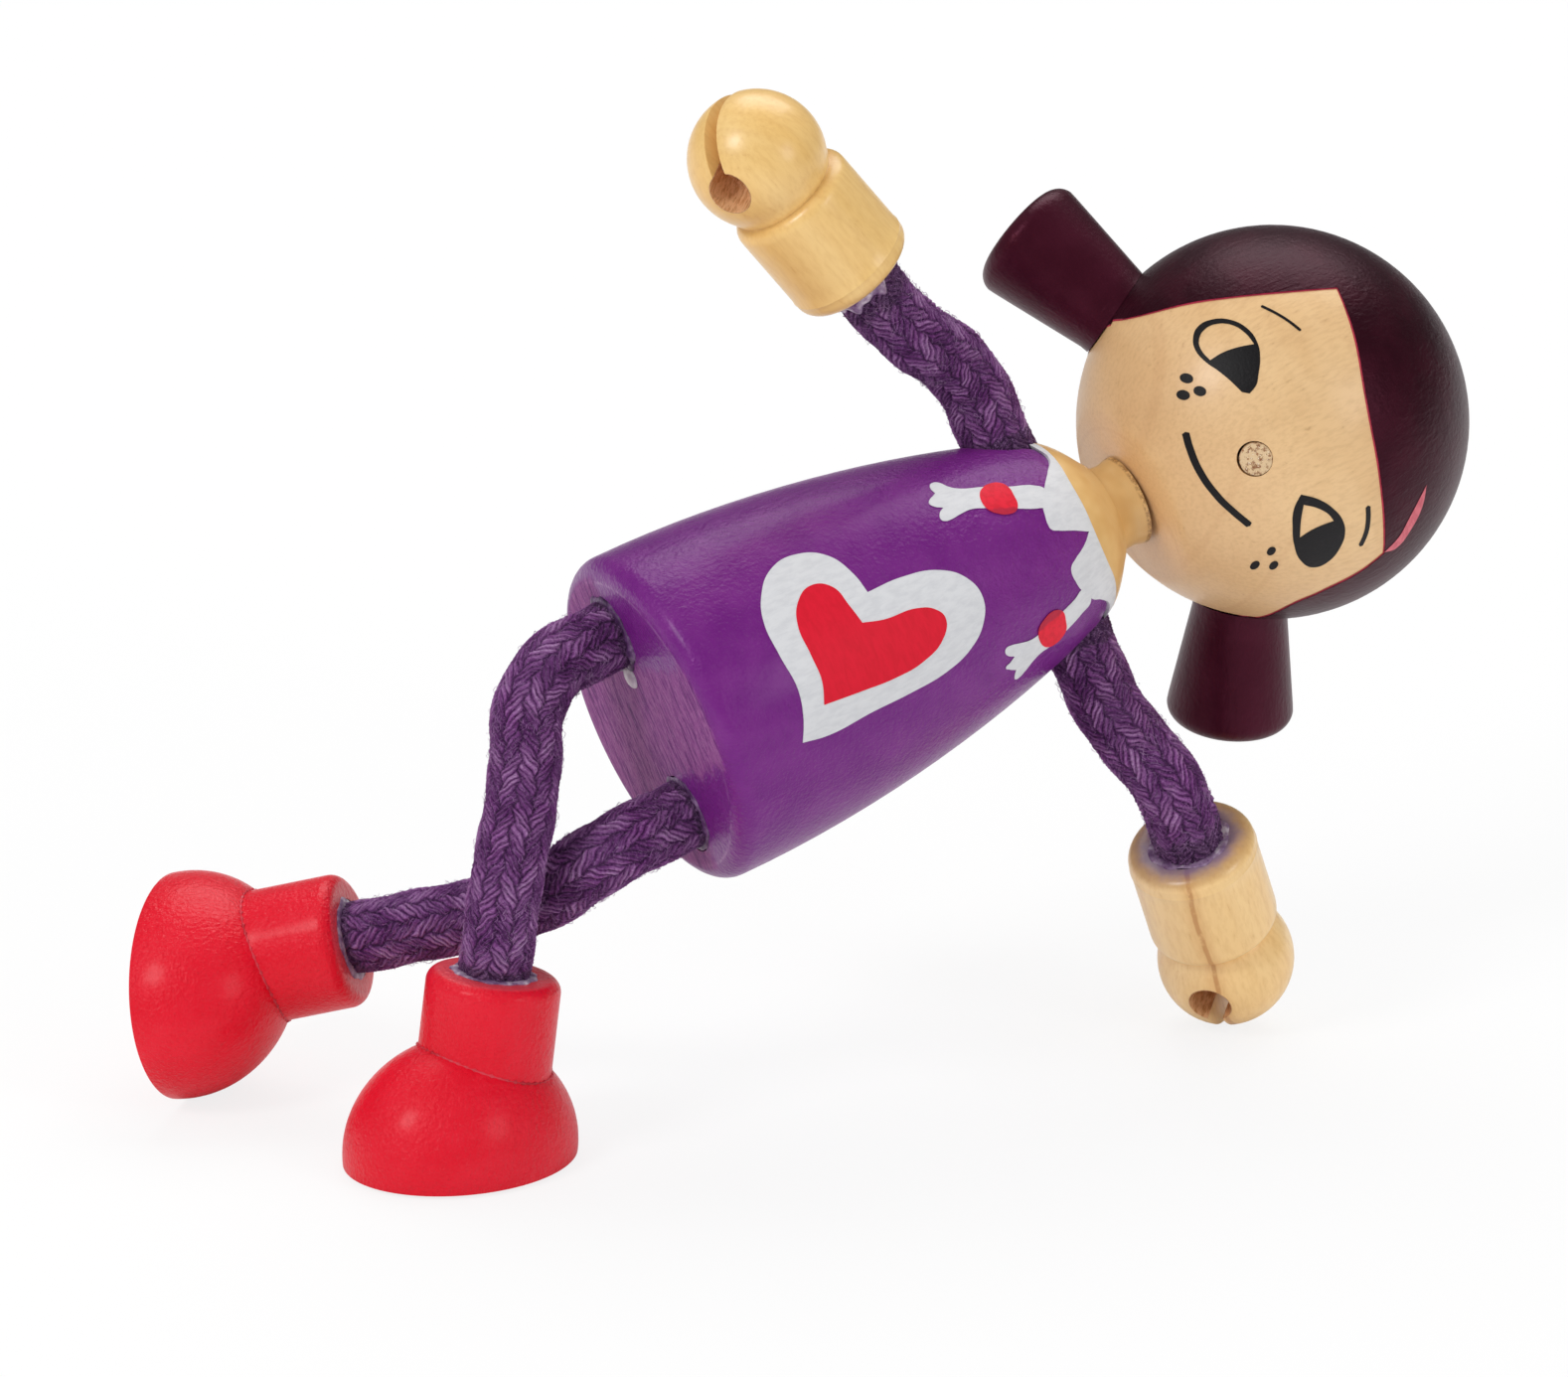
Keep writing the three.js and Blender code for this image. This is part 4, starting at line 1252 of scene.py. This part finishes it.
def end_frame(side, limb_name, joint_name, turn):
    """The frame of a hand or boot: Z leads away from its cord, and the turn is about Z from the hinge."""
    mouth, direction = limb_ends[side, limb_name]
    hinge = joint_axis(f"{side}_{joint_name}")
    across = hinge.cross(direction).normalized()
    plain = frame_of(mouth, across, direction.cross(across), direction)
    return plain @ Matrix.Rotation(radians(turn), 4, "Z")


def on_hand_ball(angle):
    """A point of the hand's ball in its outline, at an angle above the ball's middle."""
    return HAND_BALL * cos(radians(angle)), ball_height + HAND_BALL * sin(radians(angle))


def soften_edges(piece, width, segments, angle):
    """Rounds the edges that are sharper than the angle in degrees."""
    edge = piece.modifiers.new("soft edge", "BEVEL")
    edge.width = mm(width)
    edge.segments = segments
    edge.angle_limit = radians(angle)
    apply_last(piece)


ball_height = HAND_CUFF + HAND_BALL_RISE
waist_angle = -degrees(asin(HAND_BALL_RISE / HAND_BALL))
hand_outline = [(ON_AXIS, 0), (HAND_RADIUS - HAND_ROUNDING, 0)]
hand_outline += arc(HAND_RADIUS - HAND_ROUNDING, HAND_ROUNDING, HAND_ROUNDING, -75, 0, 6)
hand_outline += [
    (HAND_RADIUS, TOOL_RIDGE_AT - 0.12), (HAND_RADIUS + TOOL_RIDGE, TOOL_RIDGE_AT),
    (HAND_RADIUS, TOOL_RIDGE_AT + 0.12)]
hand_outline += [(HAND_RADIUS, h) for h in (2.4, 4.2, 6.0)]
hand_outline += arc(HAND_RADIUS - CUFF_EDGE, HAND_CUFF - CUFF_EDGE, CUFF_EDGE, 0, 80, 6)
hand_outline += bezier(
    hand_outline[-1],
    (on_hand_ball(waist_angle)[0] + 0.05, HAND_CUFF),
    (on_hand_ball(waist_angle + 6)[0], HAND_CUFF + 0.1),
    on_hand_ball(waist_angle + 11), 5)
hand_outline += arc(0, ball_height, HAND_BALL, waist_angle + 14, 88, 25)


# Clear lacquered beech. The torn end grain in the grip hole is pinkish and rough, and painted lighter to
# offset the shade in the hole; the cuff's end is darkened by glue and stained by the cord, and the left
# hand has a brown streak of heartwood. The left hand's wood is painted lighter, as painted light against
# the shade where it lies.
def hand_wood(side, place, grip_height):
    light, middle = HAND_COLOURS_LEFT_PAINTED_LIGHTER[side]
    material, shader, own, shade = clear_wood(
        side + "_lacquered_beech", place, light, middle, "#C88A3A",
        (0.5, 0.3, 0.03), (3.2, 3.2, 0.8), 0.33, 0.06, 0.3)
    across, along, up = (coordinate(own, axis) for axis in ("X", "Y", "Z"))
    if side == "left":
        lean = radians(STREAK_ANGLE)
        from_streak = plus(times(across, -sin(lean)), times(along, cos(lean)))
        bend = times(plus(noise(own, 0.35, 2), -0.5), 0.6)
        heart = calculate("ABSOLUTE", plus(from_streak, bend))
        shade = tint(shade, "#CF9250", mask(heart, 0.9, 0.2), 0.25)
        streak = times(mask(heart, 0.24, 0.1), mask(noise(own, 0.9, 3), 0.3, 0.5))
        shade = tint(shade, "#B87434", streak, 0.6)
    in_hole = mask(off_axis(along, plus(up, -grip_height)), GRIP_RADIUS + 0.06, GRIP_RADIUS)
    torn = noise(stretch(own, (1.2, 5.0, 5.0)), 1.0, 4, 0.7)
    # The torn end grain's colours are painted lighter than the wood is, to offset the shade inside the grip
    # hole.
    shade = mix(in_hole, shade, mix(mask(torn, 0.42, 0.62), "#ECB684", "#C88A54"))
    emboss(shader, times(torn, in_hole), 0.15)
    from_cord = plus(off_axis(across, along), times(noise(own, 0.6, 3), 1.4))
    on_end = mask(up, 0.7, 0.1)
    shade = tint(shade, "#A8743F", times(on_end, mask(from_cord, 3.6, 4.6)), STAIN[side])
    shade = tint(shade, "#8C7396", times(on_end, mask(from_cord, 4.9, 3.5)), 2 * STAIN[side])
    set_input(shader, "Base Color", shade)
    return material


for side in ("left", "right"):
    place = end_frame(side, "arm", "wrist", GRIP_TURN[side])
    hand = turn_on_lathe(side + "_wooden_hand", hand_outline, 96)
    drill(hand, CORD_HOLE_RADIUS, (0, 0, -CUTTER_REACH), (0, 0, HAND_HOLE_DEPTH))
    grip_height = ball_height + GRIP_RISE[side]
    drill(hand, GRIP_RADIUS, (-2 * HAND_RADIUS, 0, grip_height), (2 * HAND_RADIUS, 0, grip_height))
    bpy.ops.mesh.primitive_cube_add(size=mm(1))
    sawn = Matrix.Translation((0, 0, mm(grip_height + 5))) @ Matrix.Diagonal((20, GRIP_SLOT, 10, 1))
    combine(hand, put(latest("saw"), sawn), "DIFFERENCE")
    soften_edges(hand, 0.09, 2, 40)
    finish_piece(hand, hand_wood(side, place, grip_height), place, 40)
    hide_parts(side + "_hand")
    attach(hand, side + "_hand_body")


# Boots
# A round shaft on an egg-shaped foot with a flat sole, turned in two parts, glued and sprayed red.
# The paint bridges the joint between them in a fine dotted ridge, painted a darker red as shade in the
# joint's crease.

BOOT_HEIGHT = 12.6
BOOT_SHAFT_RADIUS = 4.6
BOOT_ROUNDING = 0.9
BOOT_LEAN = 8
FOOT_HALF_LENGTH = 8.5
FOOT_HALF_WIDTH = 7.0
FOOT_DOME = 7.55
FOOT_TOE_SHIFT = 1.15
FOOT_EDGE = 0.7
TOE_TURN = {"left": 66, "right": 161}
SEAM_RADIUS = 0.1
SEAM_POINTS = 150
SEAM_LOWEST = 3.0
BOOT_HOLE_DEPTH = 7.3

# The joint's ridge is painted darker red, as painted shade in the crease between shaft and foot.
seam_paint_with_painted_shade = painted_wood(
    "red_paint_with_painted_joint_shade", torso_frame, "#B51224", "#E04050", 0.3, 0.01, 0.1)[0]


# Red acrylic, sprayed thick, so that it is glossy with a strong orange peel. It is paler and thin on
# the shaft's end.
def boot_paint(side, place):
    material, shader, own, shade = painted_wood(
        side + "_boot_red_acrylic", place, "#E50B27", "#E9172F", 0.31, 0.01, 0.14, shine=0.45, coat=0.12)
    set_input(shader, "Specular Tint", "#FFB4B8")
    set_input(shader, "Base Color", tint(shade, "#E85A62", mask(coordinate(own, "Z"), 0.12, 0.02), 0.5))
    emboss(shader, noise(own, 5.5, 3), 0.04)
    return material


def seam_point(angle):
    """Where the shaft's side meets the foot, at an angle about the shaft."""
    low, high = SEAM_LOWEST, BOOT_HEIGHT
    for _ in range(20):
        middle = (low + high) / 2
        on_shaft = Vector((BOOT_SHAFT_RADIUS * cos(angle), BOOT_SHAFT_RADIUS * sin(angle), middle)) * mm(1)
        x, y, z = on_sole.inverted() @ on_shaft * 1000
        from_middle = Vector((
            (x - FOOT_TOE_SHIFT) / FOOT_HALF_LENGTH, y / FOOT_HALF_WIDTH, (z + FOOT_EDGE) / FOOT_DOME))
        low, high = (low, middle) if from_middle.length < 1 else (middle, high)
    return on_shaft


def seam_ridge(name):
    """The ridge of paint in the joint, thick at every third of its points."""
    curve = bpy.data.curves.new(name, "CURVE")
    curve.dimensions = "3D"
    curve.bevel_depth = mm(SEAM_RADIUS)
    curve.bevel_resolution = 2
    line = curve.splines.new("POLY")
    line.points.add(SEAM_POINTS - 1)
    line.use_cyclic_u = True
    dots = np.random.default_rng(80)
    for i, point in enumerate(line.points):
        point.co = (*seam_point(2 * pi * i / SEAM_POINTS), 1)
        point.radius = dots.uniform(0.3, 0.9) if i % 3 else dots.uniform(1.1, 1.9)
    return curve_mesh(name, curve)


on_sole = Matrix.Translation((0, 0, mm(BOOT_HEIGHT))) @ Matrix.Rotation(radians(-BOOT_LEAN), 4, "Y")
shaft_outline = [(ON_AXIS, 0), (BOOT_SHAFT_RADIUS - BOOT_ROUNDING, 0)]
shaft_outline += arc(BOOT_SHAFT_RADIUS - BOOT_ROUNDING, BOOT_ROUNDING, BOOT_ROUNDING, -75, 0, 7)
shaft_outline += [(BOOT_SHAFT_RADIUS, h) for h in (3, 5, 7, 9)] + [(ON_AXIS, 10.6)]
foot_size = Matrix.Diagonal((mm(FOOT_HALF_LENGTH), mm(FOOT_HALF_WIDTH), mm(FOOT_DOME), 1))
for side in ("left", "right"):
    place = end_frame(side, "leg", "ankle", TOE_TURN[side])
    boot = turn_on_lathe(side + "_painted_boot", shaft_outline, 96)
    bpy.ops.mesh.primitive_uv_sphere_add(segments=96, ring_count=64, radius=1)
    foot = put(latest("foot"), Matrix.Translation((mm(FOOT_TOE_SHIFT), 0, -mm(FOOT_EDGE))) @ foot_size)
    cut_flat(foot, 0, 1)
    combine(boot, put(foot, on_sole), "UNION")
    drill(boot, CORD_HOLE_RADIUS, (0, 0, -CUTTER_REACH), (0, 0, BOOT_HOLE_DEPTH))
    soften_edges(boot, 0.35, 4, 28)
    finish_piece(boot, boot_paint(side, place), place, 40)
    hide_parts(side + "_boot")
    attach(boot, side + "_foot_body")

    seam = seam_ridge(side + "_boot_seam")
    finish_piece(seam, seam_paint_with_painted_shade, place, 180)
    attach(seam, side + "_foot_body")


# Glue
# White craft glue that welled out round each cord and dried cloudy, tinted by the dye. It is
# thickest at the right hand, and one clear drop was left on the torso's flat end.

LEG_ROOT_GLUE = {"left": (0.3, 0.12), "right": (0.4, 0.2)}
END_GLUE = {
    ("left", "arm"): (0.38, 0.12), ("right", "arm"): (0.2, 1.0),
    ("left", "leg"): (0.38, 0.12), ("right", "leg"): (0.38, 0.12),
}
THINNEST_GLUE = 0.35
DROP_PLACE = (3.1, -0.2, 0)
DROP_SIZE = (0.85, 0.8, 0.34)


# Dried glue: cloudy, from the dyed dark to the light where it is thick.
def glue(name, dark, middle, light):
    material, shader, own = new_material(name, Roughness=0.45)
    shade = ramp(noise(own, 1.1, 4, 0.65), [(0.36, dark), (0.5, middle), (0.66, light)])
    set_input(shader, "Base Color", shade)
    emboss(shader, noise(own, 2.6, 3), 0.12)
    return material


glue_tint = glue("dried_glue", "#6A4672", "#957A9A", "#CDBFCC")
dyed_glue = glue("dyed_glue", "#33163D", "#553060", "#8A6C92")
clear_glue = glue("thick_glue", "#B3A2B3", "#CFC4CD", "#E6E0E3")


def glue_bead(name, centre, direction, body, size, seed, material=glue_tint):
    """An uneven ring of glue in the corner between a cord and the face that it comes out of."""
    spread, tall = size
    generator = np.random.default_rng(seed)
    bpy.ops.mesh.primitive_torus_add(
        major_segments=96, minor_segments=16, major_radius=mm(CORD_RADIUS), minor_radius=mm(1))
    bead = latest(name)
    bumps = [(n, generator.uniform(0, 2 * pi), generator.uniform(0.08, 0.2)) for n in (2, 3, 5, 8, 13)]
    for vertex in bead.data.vertices:
        x, y, z = vertex.co
        angle = atan2(y, x)
        uneven = max(1 + sum(lump * sin(n * angle + start) for n, start, lump in bumps), THINNEST_GLUE)
        distance = mm(CORD_RADIUS) + (sqrt(x * x + y * y) - mm(CORD_RADIUS)) * spread * uneven
        vertex.co = (distance * cos(angle), distance * sin(angle), z * tall * uneven)
    across = direction.orthogonal().normalized()
    place = frame_of(centre, across, direction.cross(across), direction)
    finish_piece(bead, material, place, 180)
    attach(bead, body)


for number, (side, limb_name) in enumerate(ROOT_DIRECTION):
    end_mouth, end_direction = limb_ends[side, limb_name]
    end_body = f"{side}_{LIMBS[limb_name]['bodies'][-1]}"
    size = END_GLUE[side, limb_name]
    glue_bead(f"{side}_{limb_name}_end_glue", end_mouth, -end_direction, end_body, size, 60 + number)
for side, size in LEG_ROOT_GLUE.items():
    mouth = torso_frame @ (leg_holes[side] * mm(1))
    glue_bead(side + "_leg_root_glue", mouth, -torso_up, "torso_body", size, 41, dyed_glue)

bpy.ops.mesh.primitive_ico_sphere_add(subdivisions=4, radius=mm(1))
drop = latest("glue_drop")
drop_middle = (leg_holes["right"] + Vector(DROP_PLACE)) * mm(1)
drop_place = torso_frame @ Matrix.Translation(drop_middle) @ Matrix.Diagonal((*DROP_SIZE, 1))
finish_piece(drop, clear_glue, drop_place, 180)
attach(drop, "torso_body")


# Studio
# A white table and background, with a large soft box overhead and weaker ones at the left and
# right front, so that the shadows are soft and the gloss is broad.

STUDIO_LIGHT = 0.55
REFLECTED_LIGHT = 0.1
FLOOR_WHITE = 0.82
TABLE_SIZE = 40
TABLE_BELOW_DOLL = 0.0001

# White card: the camera sees most of it as plain white, and everything else sees a dull surface.
floor_paint, shader, own = new_material(
    "white_table", Roughness=0.9, Specular_IOR_Level=0.1, Base_Color="#F4F4F4")
to_camera = add_node(shader, "ShaderNodeLightPath").outputs["Is Camera Ray"]
white = add_node(shader, "ShaderNodeEmission", {"Color": (1, 1, 1, 1), "Strength": 1.0})
seen_floor = add_node(shader, "ShaderNodeMixShader", {"Fac": times(to_camera, FLOOR_WHITE)})
set_input(seen_floor, 1, shader.outputs["BSDF"])
set_input(seen_floor, 2, white.outputs["Emission"])
set_input(floor_paint.node_tree.nodes["Material Output"], "Surface", seen_floor.outputs["Shader"])
bpy.ops.mesh.primitive_plane_add(size=TABLE_SIZE, location=(0, 0, -TABLE_BELOW_DOLL))
table = latest("table")
give(table, floor_paint)

world = bpy.data.worlds.new("studio")
bpy.context.scene.world = world
world.use_nodes = True
background = world.node_tree.nodes["Background"]
ray = add_node(background, "ShaderNodeLightPath").outputs
seen = calculate("MAXIMUM", ray["Is Camera Ray"], ray["Is Transmission Ray"])
glossy = times(ray["Is Glossy Ray"], REFLECTED_LIGHT - STUDIO_LIGHT)
light = add_node(background, "ShaderNodeMapRange", {"Value": seen, "To Min": STUDIO_LIGHT, "To Max": 1.0})
set_input(background, "Color", (1, 1, 1, 1))
set_input(background, "Strength", plus(light.outputs["Result"], glossy))


def soft_box(name, place, target, size, power):
    light = bpy.data.lights.new(name, "AREA")
    light.shape = "RECTANGLE"
    light.size, light.size_y = size
    light.energy = power
    lamp = bpy.data.objects.new(name, light)
    lamp.location = place
    lamp.rotation_euler = (Vector(target) - Vector(place)).to_track_quat("-Z", "Y").to_euler()
    bpy.context.scene.collection.objects.link(lamp)


doll_middle = (0, 0, 0.03)
soft_box("overhead_soft_box", (0.07, 0.42, 0.62), doll_middle, (0.6, 0.45), 2.4)
soft_box("left_soft_box", (-0.42, -0.35, 0.5), doll_middle, (0.2, 0.2), 1.7)
soft_box("right_soft_box", (0.5, -0.35, 0.3), doll_middle, (0.2, 0.25), 0.7)

# Camera
# A long lens from 20 degrees above the floor. The camera is turned slightly about its own line of
# sight, and its frame puts the middle of the torso's base where the photograph has it.

CAMERA_HEIGHT_ANGLE = 20
CAMERA_ROLL = -0.75
CAMERA_DISTANCE = 900
BASE_ACROSS = 9.07
BASE_UP = 2.42
SENSOR = 36.0
FITTED_DISTANCE = 917.5
PIXELS_PER_MM_AT_BASE = 14.6 * FITTED_DISTANCE / CAMERA_DISTANCE
PICTURE_WIDTH = 1578

rise = radians(CAMERA_HEIGHT_ANGLE)
roll = Matrix.Rotation(radians(CAMERA_ROLL), 3, "Y")
view_right = roll @ Vector((1, 0, 0))
view_up = roll @ Vector((0, sin(rise), cos(rise)))
view_back = roll @ Vector((0, -cos(rise), sin(rise)))
camera_data = bpy.data.cameras.new("camera")
camera_data.sensor_width = SENSOR
camera_data.lens = PIXELS_PER_MM_AT_BASE * CAMERA_DISTANCE * SENSOR / PICTURE_WIDTH
camera_data.clip_end = 100
camera = bpy.data.objects.new("camera", camera_data)
eye = torso_base + (view_right * BASE_ACROSS + view_up * BASE_UP + view_back * CAMERA_DISTANCE) * mm(1)
camera.matrix_world = frame_of(eye, view_right, view_up, view_back)
bpy.context.scene.collection.objects.link(camera)
bpy.context.scene.camera = camera
bpy.context.scene.view_settings.view_transform = "Standard"

bpy.context.view_layer.update()
